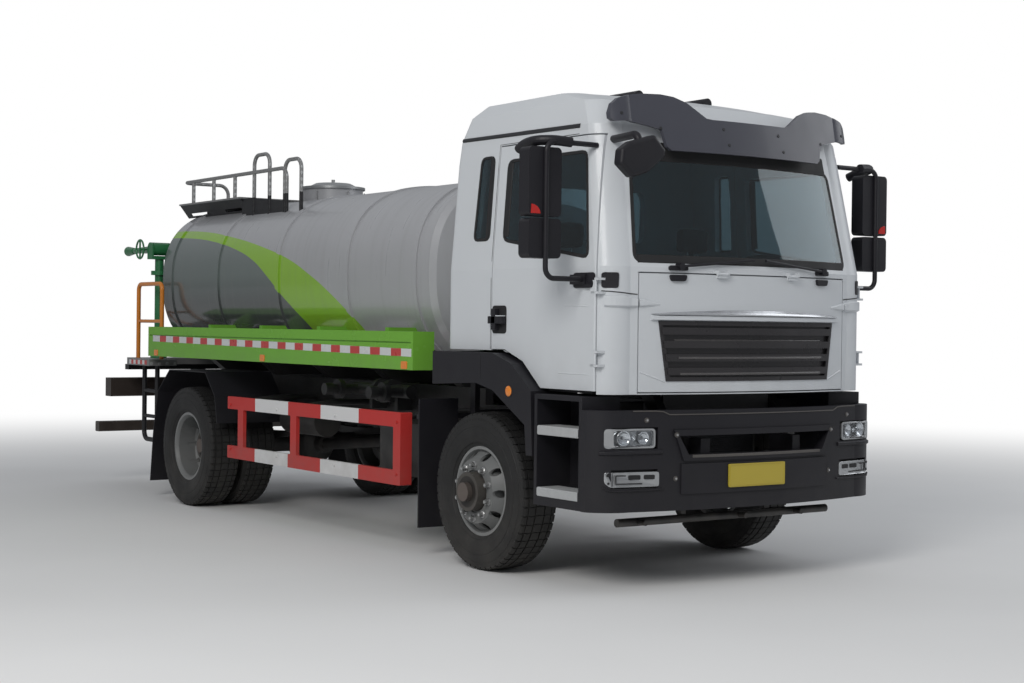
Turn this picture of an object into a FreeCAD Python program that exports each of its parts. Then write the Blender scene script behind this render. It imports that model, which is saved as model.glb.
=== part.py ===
import FreeCAD
import Part
import math
import os
from FreeCAD import Vector

# Four by two tanker truck. Millimetres, +X to the vehicle's left, +Y to the rear, +Z up.
# The shapes are drawn from the front axle and the ground, then moved so that the origin
# lies on the ground at the middle of the whole outline.

# Overall stations
wheelbase = 4500.0
overrun = 50.0
fit_gap = 0.3
moving_gap = 8.0
straight_share = 0.999999

# Tyres and rims
tyre_radius = 522.0
tyre_half_width = 149.0
tyre_crown_drop = 4.0
tread_half_width = 112.0
shoulder_drop = 30.0
front_tyre_x = 1035.0
rear_tyre_x = 1100.0
twin_spacing = 340.0
rim_flange_radius = 297.0
rim_seat_radius = 286.0
rim_barrel_radius = 264.0
rim_half_width = 114.0
rim_flange = 10.0
rim_well = 26.0
disc_offset = 164.0
disc_plate = 12.0
disc_flat_radius = 212.0
disc_bore_radius = 141.0
hand_hole_count = 10
hand_hole_radius = 26.0
hand_hole_circle = 236.0
stud_count = 10
stud_circle = 176.0
stud_radius = 15.0
stud_length = 34.0
stud_pad_share = 1.5
hub_radius = 128.0
hub_length = 60.0
hub_cap_radius = 62.0
hub_cap_length = 34.0
rear_hub_length = 150.0
drum_radius = 200.0
drum_wall = 14.0
drum_inner_reach = 40.0

# Front axle, knuckles and steering
kingpin_x = 920.0
kingpin_radius = 24.0
axle_eye_radius = 46.0
axle_eye_height = 110.0
axle_beam_width = 90.0
axle_beam_height = 100.0
axle_beam_drop = 90.0
axle_neck_share = 1.4
knuckle_ear_height = 50.0
knuckle_plate_radius = 150.0
knuckle_plate = 14.0
knuckle_plate_inset = 66.0
spindle_radius = 48.0
spindle_reach = 150.0
steering_arm_length = 168.0
steering_arm_width = 50.0
steering_arm_height = 34.0
tie_rod_radius = 20.0
tie_rod_eye_radius = 30.0
tie_rod_eye_height = 40.0

# Ladder frame
rail_outer_x = 425.0
rail_flange = 80.0
rail_web = 9.0
rail_bottom_z = 780.0
rail_top_z = 1030.0
rail_front_y = -1020.0
rail_overhang = 1880.0
rail_rear_y = wheelbase + rail_overhang
cross_width = 90.0
cross_height = 160.0
cross_plate = 10.0
cross_shares = (0.005, 0.25, 0.42, 0.57, 0.76, 0.88, 0.985)

# Leaf springs and rear axle
spring_x = 470.0
spring_width = 80.0
spring_thickness = 66.0
spring_half_span = 760.0
spring_sag = 90.0
spring_tip_share = 0.35
spring_eye_radius = 34.0
hanger_width = 40.0
rear_housing_radius = 78.0
rear_diff_radius = 215.0
rear_diff_half = 150.0
rear_diff_front_share = 1.4
rear_nose_share = 1.6
rear_axle_end_x = 1000.0

# Engine, driveline and boxes on the frame
engine_half_width = 320.0
engine_front_y = -870.0
engine_rear_y = 300.0
engine_bottom_z = 620.0
engine_top_z = 1140.0
gearbox_half_width = 190.0
gearbox_length = 620.0
gearbox_top_z = 1010.0
shaft_radius = 50.0
fuel_tank_front_y = 1180.0
fuel_tank_rear_y = 2280.0
fuel_tank_width = 560.0
fuel_tank_height = 480.0
fuel_tank_inner_x = 445.0
fuel_tank_top_z = 985.0
fuel_tank_round = 90.0
fuel_tank_arm_shares = (0.15, 0.75)
battery_front_y = 960.0
battery_rear_y = 1560.0
battery_inner_x = 445.0
battery_outer_x = 1000.0
battery_bottom_z = 520.0
battery_top_z = 900.0
air_tank_radius = 125.0
air_tank_length = 620.0
air_tank_x = 640.0
air_tank_reach = -1480.0
air_tank_y = wheelbase + air_tank_reach
air_tank_z = 800.0
air_tank_strap_shares = (0.2, 0.7)

# Bumper, lamps and spray bar
bumper_half_width = 1200.0
bumper_front_y = -1430.0
bumper_corner_x = 960.0
bumper_corner_y = -1325.0
bumper_side_y = -1190.0
bumper_side_rear_y = -1145.0
bumper_bottom_z = 500.0
bumper_top_z = 1112.0
bumper_wall = 60.0
lamp_inner_x = 780.0
lamp_outer_x = 1090.0
lamp_bottom_z = 880.0
lamp_top_z = 1010.0
low_lamp_bottom_z = 645.0
low_lamp_top_z = 757.0
lamp_depth = 35.0
intake_half_top = 640.0
intake_half_low = 570.0
intake_bottom_z = 838.0
intake_top_z = 956.0
intake_lip = 14.0
intake_lip_width = 36.0
plate_panel_half = 620.0
plate_panel_low_z = 600.0
plate_panel_top_z = 785.0
plate_panel_proud = 10.0
spray_bar_y = -1120.0
spray_bar_z = 410.0
spray_bar_radius = 26.0
spray_bar_half = 900.0
spray_nozzle_radius = 17.0
spray_nozzle_length = 60.0
spray_nozzle_shares = (-0.82, 0.11, 0.66)
spray_hanger_shares = (-0.4, 0.4)
spray_foot_share = 1.2
spray_hanger_width = 40.0
bumper_arm_width = 70.0
bumper_arm_height = 150.0

# Steps, fenders and mudflaps at the front wheels
step_front_y = -1140.0
step_rear_y = -652.0
step_inner_x = 900.0
step_outer_x = 1192.0
step_low_z = 500.0
step_high_z = 1190.0
upper_step_z = 990.0
lower_step_z = 610.0
step_plate = 44.0
step_wall = 30.0
step_arm_width = 90.0
fender_outer_x = 1200.0
fender_inner_x = 860.0
fender_top_z = 1436.0
fender_rear_y = 530.0
fender_rear_z = 1212.0
fender_front_y = -640.0
fender_front_z = 800.0
fender_shell = 20.0
fender_hood_gauge = 30.0
fender_arch_z = 1236.0
fender_crown_y = -190.0
fender_shoulder_y = -400.0
fender_shoulder_z = 1372.0
fender_arch_shoulder_y = -360.0
fender_arch_shoulder_z = 1100.0
fender_arch_front_y = -575.0
fender_margin = 16.0
cover_plate = 16.0
flap_plate = 12.0
flap_arm_height = 36.0
front_flap_y = 700.0
front_flap_half = 160.0
front_flap_top_z = 1100.0
front_flap_bottom_z = 205.0

# Cab
cab_bottom_z = 1205.0
cab_belt_z = 1980.0
cab_glass_top_z = 2700.0
cab_shoulder_z = 2860.0
cab_brow_z = 3020.0
cab_top_z = 3100.0
cab_front_y = -1385.0
cab_side_x = 1120.0
cab_rear_y = 480.0
cab_wall = 56.0
cab_corner_share = 0.83
cab_blend_share = 2.4
cab_front_fall = 122.0
cab_corner_length = 112.0
cab_cut_depth = 400.0
door_cut_depth = 250.0
cab_rear_round = 60.0
cab_glass_front_y = -1235.0
cab_glass_side_x = 1066.0
cab_glass_rear_y = 470.0
cab_shoulder_front_y = -1200.0
cab_shoulder_side_x = 1050.0
cab_shoulder_rear_y = 458.0
cab_brow_front_y = -1085.0
cab_brow_side_x = 1000.0
cab_brow_rear_y = 415.0
cab_top_front_y = -740.0
cab_top_side_x = 930.0
cab_top_rear_y = 325.0
floor_thickness = 60.0
floor_corner_depth = 110.0
floor_corner_length = 100.0
windshield_half_low = 905.0
windshield_half_top = 850.0
windshield_low_z = 2010.0
windshield_top_z = 2655.0
window_round = 55.0
glass_thickness = 6.0
glass_fit = 0.3
rear_window_half = 560.0
rear_window_low_z = 2230.0
rear_window_top_z = 2600.0
quarter_front_low_y = -2.0
quarter_front_top_y = -2.0
quarter_rear_low_y = 180.0
quarter_rear_top_y = 150.0
quarter_low_z = 2176.0
quarter_top_z = 2730.0
cab_pivot_y = -1200.0
cab_pivot_z = 850.0
cab_pivot_x = 470.0
cab_pivot_radius = 26.0
cab_pivot_width = 50.0
cab_cheek_half = 39.0
cab_arm_width = 60.0
cab_leg_front_y = -950.0
cab_leg_rear_y = -820.0

# Doors
door_front_y = -1172.0
door_front_top_y = -1085.0
door_rear_y = -58.0
door_top_z = 2795.0
door_low_rear_z = 1452.0
door_bottom_z = 1216.0
door_bottom_rear_y = -604.0
door_crown_y = -205.0
door_shoulder_y = -408.0
door_shoulder_z = 1380.0
door_window_front_low_y = -1085.0
door_window_front_top_y = -1000.0
door_window_rear_y = -165.0
door_window_low_front_z = 2030.0
door_window_low_rear_z = 2168.0
door_window_top_z = 2690.0
door_hinge_x = 1131.0
door_hinge_y = -1181.0
door_hinge_zs = (1420.0, 1860.0)
hinge_radius = 9.0
hinge_pin_radius = 5.0
hinge_half = 34.0
hinge_ear = 14.0
hinge_play = 0.4
handle_front_y = -222.0
handle_rear_y = -70.0
handle_low_z = 1590.0
handle_top_z = 1730.0
handle_proud = 34.0
handle_plate = 10.0

# Mirrors
mirror_x = 1420.0
mirror_y = -1000.0
mirror_half_width = 120.0
mirror_half_depth = 52.0
mirror_low_z = 2020.0
mirror_split_z = 2264.0
mirror_top_z = 2685.0
mirror_split_gap = 12.0
mirror_round = 30.0
mirror_arm_radius = 16.0
mirror_arm_y = -1060.0
mirror_low_arm_z = 1900.0
mirror_high_arm_z = 2720.0
mirror_base_half = 60.0
mirror_base_depth = 26.0
front_mirror_x = 985.0
front_mirror_y = -1415.0
front_mirror_half_depth = 42.0
front_mirror_z = 2628.0
front_mirror_half = 175.0
front_mirror_outline_shares = (
    (-0.99, 0.18), (-0.6, 0.46), (0.46, 0.76), (0.96, 0.26), (0.88, 0.0), (0.15, -0.55), (-0.5, -0.75), (-1.05, -0.32))
front_mirror_round = 24.0
front_mirror_arm_radius = 24.0
front_mirror_foot_z = 2760.0
front_mirror_foot_inset = 180.0
front_mirror_knee_inset = 110.0

# Front flap, grille and visor
flap_half = 880.0
flap_top_z = 1950.0
flap_bottom_z = 1212.0
flap_thickness = 28.0
flap_reach = 305.0
flap_lug_depth = 39.0
flap_ear_height = 22.0
flap_hinge_inset = 12.0
flap_hinge_xs = (-300.0, 300.0)
grille_half_top = 745.0
grille_half_low = 690.0
grille_low_z = 1285.0
grille_top_z = 1655.0
grille_bars = 4
grille_bar_height = 44.0
grille_first_share = 0.75
grille_proud = 12.0
grille_frame = 26.0
grille_depth = 14.0
visor_low_z = 2700.0
visor_top_z = 3048.0
visor_low_front_y = -1345.0
visor_top_front_y = -1262.0
visor_plate = 26.0
visor_side_x = 1056.0
visor_half = 1008.0
visor_outline_shares = (
    (0.0, 0.0), (0.62, 0.0), (0.65, 0.06), (0.675, 0.36), (0.76, 0.42), (0.9, 0.49), (0.985, 0.47), (1.0, 0.52),
    (1.0, 0.62), (0.985, 0.78), (0.95, 0.88), (0.88, 0.95), (0.79, 0.99), (0.66, 1.0), (0.57, 0.97), (0.48, 0.88),
    (0.385, 0.70), (0.345, 0.625), (0.3, 0.61), (0.0, 0.61))
fairing_outline_shares = (
    (0.67, 0.05), (0.86, 0.13), (1.0, 0.24), (1.02, 0.44), (0.9, 0.465), (0.76, 0.4), (0.695, 0.34))
visor_arm_width = 40.0
visor_arm_low_z = 2795.0
visor_arm_top_z = 2840.0
visor_arm_shares = (-0.5, 0.5)
wiper_x = 610.0
wiper_z = 1988.0
wiper_reach = 560.0
wiper_rise = 52.0
wiper_shaft_share = 0.9
wiper_knee_share = 0.8
wiper_radius = 9.0
wiper_boss_radius = 22.0
horn_radius = 36.0
horn_length = 300.0
horn_x = 300.0
horn_y = -560.0
horn_height = 40.0

# Cab interior
dash_rear_y = -840.0
dash_top_z = 1950.0
dash_low_z = 1560.0
dash_half = 960.0
dash_foot_inset = 120.0
seat_x = 560.0
seat_half_width = 250.0
seat_front_y = -560.0
seat_rear_y = -60.0
seat_pan_z = 1560.0
seat_pan_height = 140.0
seat_back_top_z = 2330.0
seat_back_depth = 130.0
seat_base_half = 190.0
seat_round = 40.0
wheel_ring_radius = 225.0
wheel_ring_tube = 16.0
wheel_ring_y = -690.0
wheel_ring_z = 2010.0
wheel_tilt_share = 0.42
wheel_hub_radius = 60.0
wheel_hub_depth = 40.0
column_radius = 32.0

# Tank on its subframe
tank_half_width = 927.0
tank_half_height = 728.0
tank_centre_z = 1989.0
tank_front_y = 1021.0
tank_reach = 1259.0
tank_rear_y = wheelbase + tank_reach
tank_exponent_share = 2.555
tank_points = 24
tank_head_depth = 110.0
tank_head_inset = 70.0
tank_knuckle_share = 0.45
tank_cap_inset = 182.0
tank_band_width = 60.0
tank_band_proud = 12.0
tank_band_shares = (0.035, 0.25, 0.5, 0.75, 0.965)
subframe_width = 70.0
subframe_top_z = 1150.0
saddle_width = 110.0
saddle_half = 700.0
saddle_rise = 330.0
saddle_shares = (0.07, 0.29, 0.5, 0.71, 0.93)

# Skirts and side guards
skirt_outer_x = 1220.0
skirt_plate = 30.0
skirt_front_y = 756.0
skirt_reach = 900.0
skirt_rear_y = wheelbase + skirt_reach
skirt_bottom_z = 1296.0
skirt_top_z = 1565.0
skirt_lip = 175.0
skirt_lip_plate = 24.0
skirt_groove_z = 1482.0
skirt_groove = 10.0
skirt_bracket_width = 50.0
guard_outer_x = 1220.0
guard_depth = 30.0
guard_front_y = 910.0
guard_reach = -800.0
guard_rear_y = wheelbase + guard_reach
guard_low_z = 480.0
guard_rail_height = 104.0
guard_top_z = 994.0
guard_post_width = 98.0
guard_return = 95.0
guard_mid_share = 0.56
guard_back_share = 0.93
bracket_tube_radius = 24.0
bracket_shares = (0.06, 0.62, 0.97)
bracket_low_z = 940.0
bracket_inner_x = 425.0

# Rear mudguards and rear flaps
rear_guard_front_reach = -625.0
rear_guard_front_y = wheelbase + rear_guard_front_reach
rear_guard_front_z = 754.0
rear_guard_rear_reach = 736.0
rear_guard_rear_y = wheelbase + rear_guard_rear_reach
rear_guard_rear_z = 600.0
rear_guard_top_z = 1185.0
rear_guard_top_half = 380.0
rear_guard_top_front_y = wheelbase - rear_guard_top_half
rear_guard_top_rear_y = wheelbase + rear_guard_top_half
rear_guard_shell = 8.0
rear_guard_inner_x = 610.0
rear_guard_outer_x = 1235.0
rear_flap_bottom_z = 154.0
rear_flap_slope = 60.0
rear_guard_arm_width = 60.0

# Tank top: manhole, hoops, platform and railing
manhole_reach = -370.0
manhole_y = wheelbase + manhole_reach
manhole_radius = 268.0
manhole_wall = 14.0
manhole_top_z = 2815.0
manhole_well_z = 400.0
lid_radius = 288.0
lid_thickness = 22.0
lid_dome = 36.0
lid_dome_low_share = 0.8
lid_dome_top_share = 0.55
lid_hinge_y = 340.0
lid_hinge_radius = 16.0
lid_hinge_half = 60.0
lid_ear = 26.0
hoop_radius = 17.0
hoop_bend = 90.0
hoop_x = -660.0
hoop_foot_z = 2480.0
hoop_length = 300.0
hoop_reach = -490.0
hoop_pitch = 590.0
hoop_low_top_z = 3015.0
hoop_high_top_z = 3100.0
walk_half = 700.0
walk_front_reach = 100.0
walk_front_y = wheelbase + walk_front_reach
walk_rear_reach = 1420.0
walk_rear_y = wheelbase + walk_rear_reach
walk_plate = 14.0
walk_top_z = 2746.0
walk_leg_width = 50.0
rail_tube_radius = 17.0
rail_height = 205.0
rail_post_pitch = 450.0
rail_post_count = 3
rail_front_reach = -765.0
rail_end_bend = 190.0
rail_gate_half = 200.0
apron_plate = 12.0
apron_foot_x = 585.0
apron_foot_z = 2598.0
slot_length = 400.0
slot_low_z = 2632.0
slot_height = 24.0
slot_pitch = 760.0
slot_inset = 110.0
rail_bracket_plate = 12.0
rail_bracket_foot_z = 2480.0
rail_bracket_front_z = 2664.0

# Rear platform, posts, water cannon and ladder
deck_front_reach = 920.0
deck_front_y = wheelbase + deck_front_reach
deck_rear_reach = 1800.0
deck_rear_y = wheelbase + deck_rear_reach
deck_half = 1200.0
deck_corner_half = 1060.0
deck_corner_reach = 1450.0
deck_corner_y = wheelbase + deck_corner_reach
deck_top_z = 1262.0
deck_plate = 60.0
deck_leg_width = 80.0
post_x = 1020.0
post_radius = 20.0
post_front_reach = 1060.0
post_rear_reach = 1620.0
post_ys = (wheelbase + post_front_reach, wheelbase + post_rear_reach)
post_top_z = 1970.0
post_mid_share = 0.5
rail_bar_share = 0.8
cannon_x = -880.0
cannon_reach = 1460.0
cannon_y = wheelbase + cannon_reach
cannon_pipe_radius = 42.0
cannon_flange_radius = 78.0
cannon_flange = 20.0
cannon_swivel_z = 2080.0
cannon_elbow_z = 2310.0
cannon_joint_half = 78.0
cannon_joint_radius = 62.0
cannon_fork_gap = 6.0
cannon_fork_plate = 14.0
cannon_bridge_share = 1.5
nozzle_throat_share = 1.2
cannon_barrel_length = 620.0
cannon_barrel_tip_share = 0.62
cannon_nozzle_length = 150.0
cannon_nozzle_radius = 48.0
cannon_wheel_radius = 90.0
cannon_wheel_tube = 9.0
cannon_wheel_reach = 120.0
cannon_wheel_y = 190.0
ladder_x = 1060.0
ladder_width = 300.0
ladder_front_y = wheelbase + post_front_reach
ladder_rear_y = ladder_front_y + ladder_width
ladder_bottom_z = 500.0
ladder_top_z = 1232.0
ladder_radius = 22.0
ladder_bend = 80.0
ladder_rung_zs = (720.0, 960.0)

# Rear beams and lamps
upper_beam_half = 1190.0
upper_beam_reach = 2020.0
upper_beam_rear_y = wheelbase + upper_beam_reach
upper_beam_low_z = 880.0
upper_beam_top_z = 1060.0
lower_beam_reach = 2180.0
lower_beam_front_y = wheelbase + lower_beam_reach
lower_beam_depth = 100.0
lower_beam_rear_y = lower_beam_front_y + lower_beam_depth
lower_beam_low_z = 520.0
lower_beam_top_z = 620.0
beam_arm_x = 520.0
beam_arm_width = 70.0
tail_lamp_inner_x = 760.0
tail_lamp_outer_x = 1150.0
tail_lamp_low_z = 905.0
tail_lamp_top_z = 1035.0
tail_lamp_depth = 40.0
tail_lamp_proud = 3.0

# Water pump and side couplings
pump_reach = 280.0
pump_y = fuel_tank_rear_y + pump_reach
pump_x = 60.0
pump_radius = 170.0
pump_half = 190.0
pump_casing_share = 0.6
pump_casing_length = 456.0
pump_foot_shares = (0.3, 0.7)
pump_foot_height = 54.0
pump_riser_share = 0.9
pump_z = 1000.0
coupling_radius = 38.0
coupling_ys = (1910.0, 2610.0)
coupling_outer_x = 900.0
side_pipe_x = 560.0
side_pipe_flange_radius = 90.0
side_pipe_flange_shares = (0.28, 0.52)
coupling_z = 1092.0
coupling_flange_radius = 78.0
coupling_flange = 22.0
coupling_collar_radius = 48.0
coupling_collar = 70.0
main_pipe_radius = 52.0

axis_x = Vector(1, 0, 0)
axis_y = Vector(0, 1, 0)
axis_z = Vector(0, 0, 1)
sides = (("right", -1), ("left", 1))


def block(x0, x1, y0, y1, z0, z1):
    return Part.makeBox(x1 - x0, y1 - y0, z1 - z0, Vector(x0, y0, z0))


def fuse(shapes):
    """One solid from pieces that overlap or share a face."""
    joined = shapes[0]
    if len(shapes) > 1:
        joined = shapes[0].fuse(list(shapes[1:]))
    return joined.removeSplitter()


def group(shapes):
    return Part.makeCompound(list(shapes))


def mirrored(shape):
    return shape.mirror(Vector(0, 0, 0), axis_x)


def on_side(shape, side):
    """A shape drawn on the left, or its mirror image on the right."""
    return shape if side > 0 else mirrored(shape)


def both(shape):
    return group([shape, mirrored(shape)])


def polygon(points):
    return Part.Face(Part.makePolygon(list(points) + [points[0]]))


def plate_x(outline, x0, x1):
    """A plate between two X planes with an outline of (y, z) points."""
    return polygon([Vector(x0, y, z) for y, z in outline]).extrude(Vector(x1 - x0, 0, 0))


def plate_y(outline, y0, y1):
    """A plate between two Y planes with an outline of (x, z) points."""
    return polygon([Vector(x, y0, z) for x, z in outline]).extrude(Vector(0, y1 - y0, 0))


def plate_z(outline, z0, z1):
    """A plate between two Z planes with an outline of (x, y) points."""
    return polygon([Vector(x, y, z0) for x, y in outline]).extrude(Vector(0, 0, z1 - z0))


def round_edges(shape, direction, radius):
    """Rounds the straight edges that run along one axis."""
    picked = []
    for edge in shape.Edges:
        ends = edge.Vertexes
        if len(ends) == 2:
            run = ends[1].Point - ends[0].Point
            if abs(run.dot(direction)) > run.Length * straight_share:
                picked.append(edge)
    return shape.makeFillet(radius, picked)


def rod(start, end, radius):
    run = end - start
    return Part.makeCylinder(radius, run.Length, start, run)


def bent_tube(points, radius, bend):
    """A round bar along straight runs joined by arcs of one bend radius."""
    edges = []
    start = points[0]
    for before, corner, after in zip(points, points[1:], points[2:]):
        into = (corner - before).normalize()
        out = (after - corner).normalize()
        turn = into.getAngle(out)
        reach = bend * math.tan(turn / 2)
        arc_start = corner - into * reach
        arc_end = corner + out * reach
        inward = (out - into).normalize()
        centre = corner + inward * (bend / math.cos(turn / 2))
        middle = centre - inward * bend
        edges.append(Part.makeLine(start, arc_start))
        edges.append(Part.Arc(arc_start, middle, arc_end).toShape())
        start = arc_end
    edges.append(Part.makeLine(start, points[-1]))
    path = Part.Wire(edges)
    ring = Part.Wire([Part.makeCircle(radius, points[0], points[1] - points[0])])
    return path.makePipeShell([ring], True, False)


def revolved_x(outline):
    """A ring about the X axis from (x, radius) points."""
    face = polygon([Vector(x, 0, radius) for x, radius in outline])
    return face.revolve(Vector(0, 0, 0), axis_x, 360)


def save(name, shape):
    front_end_y = front_mirror_y - front_mirror_half_depth
    moved = shape.copy()
    moved.translate(Vector(0, -(front_end_y + lower_beam_rear_y) / 2, 0))
    moved.exportStep("parts/" + name + ".step")


# Wheels

def tyre():
    """A road tyre about the X axis with rounded shoulders and bulging walls."""
    bead_x = rim_half_width - rim_flange - fit_gap
    bead = rim_seat_radius + fit_gap
    rim_edge = rim_flange_radius + fit_gap
    wall_x = rim_half_width + tyre_crown_drop
    bulge = (rim_edge + tyre_radius) / 2
    shoulder = tyre_radius - shoulder_drop
    shoulder_x = (tread_half_width + tyre_half_width) / 2
    crown = tyre_radius - tyre_crown_drop
    knee_x = (shoulder_x + tread_half_width) / 2
    knee = (shoulder + crown) / 2 + tyre_crown_drop

    def at(x, radius):
        return Vector(x, 0, radius)

    edges = [
        Part.makeLine(at(-bead_x, bead), at(bead_x, bead)),
        Part.makeLine(at(bead_x, bead), at(bead_x, rim_edge)),
        Part.makeLine(at(bead_x, rim_edge), at(wall_x, rim_edge)),
        Part.Arc(at(wall_x, rim_edge), at(tyre_half_width, bulge), at(shoulder_x, shoulder)).toShape(),
        Part.Arc(at(shoulder_x, shoulder), at(knee_x, knee), at(tread_half_width, crown)).toShape(),
        Part.Arc(at(tread_half_width, crown), at(0, tyre_radius), at(-tread_half_width, crown)).toShape(),
        Part.Arc(at(-tread_half_width, crown), at(-knee_x, knee), at(-shoulder_x, shoulder)).toShape(),
        Part.Arc(at(-shoulder_x, shoulder), at(-tyre_half_width, bulge), at(-wall_x, rim_edge)).toShape(),
        Part.makeLine(at(-wall_x, rim_edge), at(-bead_x, rim_edge)),
        Part.makeLine(at(-bead_x, rim_edge), at(-bead_x, bead)),
    ]
    return Part.Face(Part.Wire(edges)).revolve(Vector(0, 0, 0), axis_x, 360)


def ring_of(shape, count):
    """Copies of a shape spread evenly about the X axis."""
    copies = []
    for index in range(count):
        turned = shape.copy()
        turned.rotate(Vector(0, 0, 0), axis_x, index * 360 / count)
        copies.append(turned)
    return copies


def rim(holed):
    """A disc wheel about the X axis whose disc stands out towards +X."""
    seat_x = rim_half_width - rim_flange
    ring = revolved_x([
        (-rim_half_width, rim_flange_radius), (-seat_x, rim_flange_radius),
        (-seat_x, rim_seat_radius), (seat_x, rim_seat_radius),
        (seat_x, rim_flange_radius), (rim_half_width, rim_flange_radius),
        (rim_half_width, rim_seat_radius - rim_flange), (rim_half_width - rim_well, rim_barrel_radius),
        (disc_offset, disc_flat_radius), (disc_offset, disc_bore_radius),
        (disc_offset - disc_plate, disc_bore_radius),
        (disc_offset - disc_plate, disc_flat_radius - disc_plate / 2),
        (rim_half_width - rim_well * 2, rim_barrel_radius - disc_plate / 2),
        (-rim_half_width + rim_well, rim_barrel_radius - disc_plate / 2),
        (-rim_half_width, rim_seat_radius - rim_flange),
    ])
    if not holed:
        return ring
    bore = Part.makeCylinder(hand_hole_radius, disc_offset, Vector(0, 0, hand_hole_circle), axis_x)
    bore.rotate(Vector(0, 0, 0), axis_x, 180 / hand_hole_count)
    return ring.cut(group(ring_of(bore, hand_hole_count)))


def front_wheel():
    """Rim, studs, hub and brake drum of a steered wheel, bored for its spindle."""
    face_x = disc_offset
    hub = Part.makeCylinder(hub_radius, hub_length + disc_plate, Vector(face_x - disc_plate, 0, 0), axis_x)
    collar = Part.makeCylinder(disc_bore_radius + stud_radius, disc_plate * 2,
                               Vector(face_x - disc_plate * 3, 0, 0), axis_x)
    cap = Part.makeCylinder(hub_cap_radius, hub_cap_length, Vector(face_x + hub_length, 0, 0), axis_x)
    stud = Part.makeCylinder(stud_radius, stud_length, Vector(face_x, 0, stud_circle), axis_x)
    flange = Part.makeCylinder(stud_circle + stud_radius * stud_pad_share, disc_plate * 2,
                               Vector(face_x - disc_plate * 3, 0, 0), axis_x)
    drum = revolved_x([
        (-drum_inner_reach, drum_radius), (face_x - disc_plate * 2, drum_radius),
        (face_x - disc_plate * 2, spindle_radius * 2), (face_x - disc_plate * 3, spindle_radius * 2),
        (face_x - disc_plate * 3, drum_radius - drum_wall), (-drum_inner_reach, drum_radius - drum_wall),
    ])
    body = fuse([rim(True), flange, collar, hub, cap, drum] + ring_of(stud, stud_count))
    bore = Part.makeCylinder(spindle_radius + fit_gap, spindle_reach + fit_gap, Vector(0, 0, 0), axis_x)
    return body.cut(bore)


def rear_wheels():
    """Two rims back to back on one hub, whose middle plane is at X zero."""
    outer = rim(True)
    outer.rotate(Vector(0, 0, 0), axis_z, 180)
    outer.translate(Vector(twin_spacing / 2, 0, 0))
    inner = rim(False)
    inner.translate(Vector(-twin_spacing / 2, 0, 0))
    seat = twin_spacing / 2 - disc_offset
    middle = Part.makeCylinder(stud_circle + stud_radius * stud_pad_share, seat * 2, Vector(-seat, 0, 0), axis_x)
    hub = Part.makeCylinder(disc_bore_radius, rear_hub_length, Vector(-seat, 0, 0), axis_x)
    cap = Part.makeCylinder(hub_cap_radius, hub_cap_length, Vector(rear_hub_length - seat, 0, 0), axis_x)
    stud = Part.makeCylinder(stud_radius, stud_length, Vector(seat + disc_plate, 0, stud_circle), axis_x)
    drum = Part.makeCylinder(drum_radius, twin_spacing / 2, Vector(-twin_spacing / 2 - seat, 0, 0), axis_x)
    body = fuse([outer, inner, middle, hub, cap, drum] + ring_of(stud, stud_count))
    inner_end = -twin_spacing - seat
    bore_end = rear_axle_end_x - rear_tyre_x + twin_spacing / 2 + fit_gap
    bore = Part.makeCylinder(rear_housing_radius + fit_gap, bore_end - inner_end, Vector(inner_end, 0, 0), axis_x)
    return body.cut(bore)


def twin_tyres():
    return group([tyre().translated(Vector(place, 0, 0)) for place in (-twin_spacing / 2, twin_spacing / 2)])


def wheels():
    front = Vector(front_tyre_x, 0, tyre_radius)
    rear = Vector(rear_tyre_x - twin_spacing / 2, wheelbase, tyre_radius)
    for name, side in sides:
        save("rim_front_" + name, on_side(front_wheel().translated(front), side))
        save("tyre_front_" + name, on_side(tyre().translated(front), side))
        save("rims_rear_" + name, on_side(rear_wheels().translated(rear), side))
        save("tyres_rear_" + name, on_side(twin_tyres().translated(rear), side))


# Axles, knuckles and springs

def knuckle():
    """Forked knuckle on the left kingpin with its spindle and steering arm."""
    centre = Vector(kingpin_x, 0, tyre_radius)
    ears = []
    for sign in (-1, 1):
        foot = axle_eye_height / 2 + fit_gap
        low = tyre_radius + (foot if sign > 0 else -foot - knuckle_ear_height)
        ear = Part.makeCylinder(axle_eye_radius, knuckle_ear_height, Vector(kingpin_x, 0, low), axis_z)
        arm = block(kingpin_x, front_tyre_x - knuckle_plate_inset, -axle_eye_radius, axle_eye_radius,
                    low, low + knuckle_ear_height)
        ears.append(ear.fuse(arm))
    plate = Part.makeCylinder(knuckle_plate_radius, knuckle_plate,
                              Vector(front_tyre_x - knuckle_plate_inset, 0, tyre_radius), axis_x)
    spindle = Part.makeCylinder(spindle_radius, knuckle_plate_inset + spindle_reach,
                                Vector(front_tyre_x - knuckle_plate_inset, 0, tyre_radius), axis_x)
    pin_half = axle_eye_height / 2 + knuckle_ear_height
    pin = Part.makeCylinder(kingpin_radius, pin_half * 2, centre - axis_z * pin_half, axis_z)
    arm_z = tyre_radius - axle_eye_height / 2 - knuckle_ear_height
    arm = block(kingpin_x - steering_arm_width / 2, kingpin_x + steering_arm_width / 2,
                0, steering_arm_length, arm_z, arm_z + steering_arm_height)
    return fuse(ears + [plate, spindle, pin, arm])


def tie_rod():
    """Track rod under the two steering arms, with an eye and a pin at each end."""
    arm_z = tyre_radius - axle_eye_height / 2 - knuckle_ear_height
    rod_z = arm_z - fit_gap - tie_rod_eye_height / 2
    bar = rod(Vector(-kingpin_x, steering_arm_length, rod_z), Vector(kingpin_x, steering_arm_length, rod_z),
              tie_rod_radius)
    eyes = []
    for side in (-1, 1):
        foot = Vector(side * kingpin_x, steering_arm_length, rod_z - tie_rod_eye_height / 2)
        eyes.append(Part.makeCylinder(tie_rod_eye_radius, tie_rod_eye_height, foot, axis_z))
    return fuse([bar] + eyes)


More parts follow.
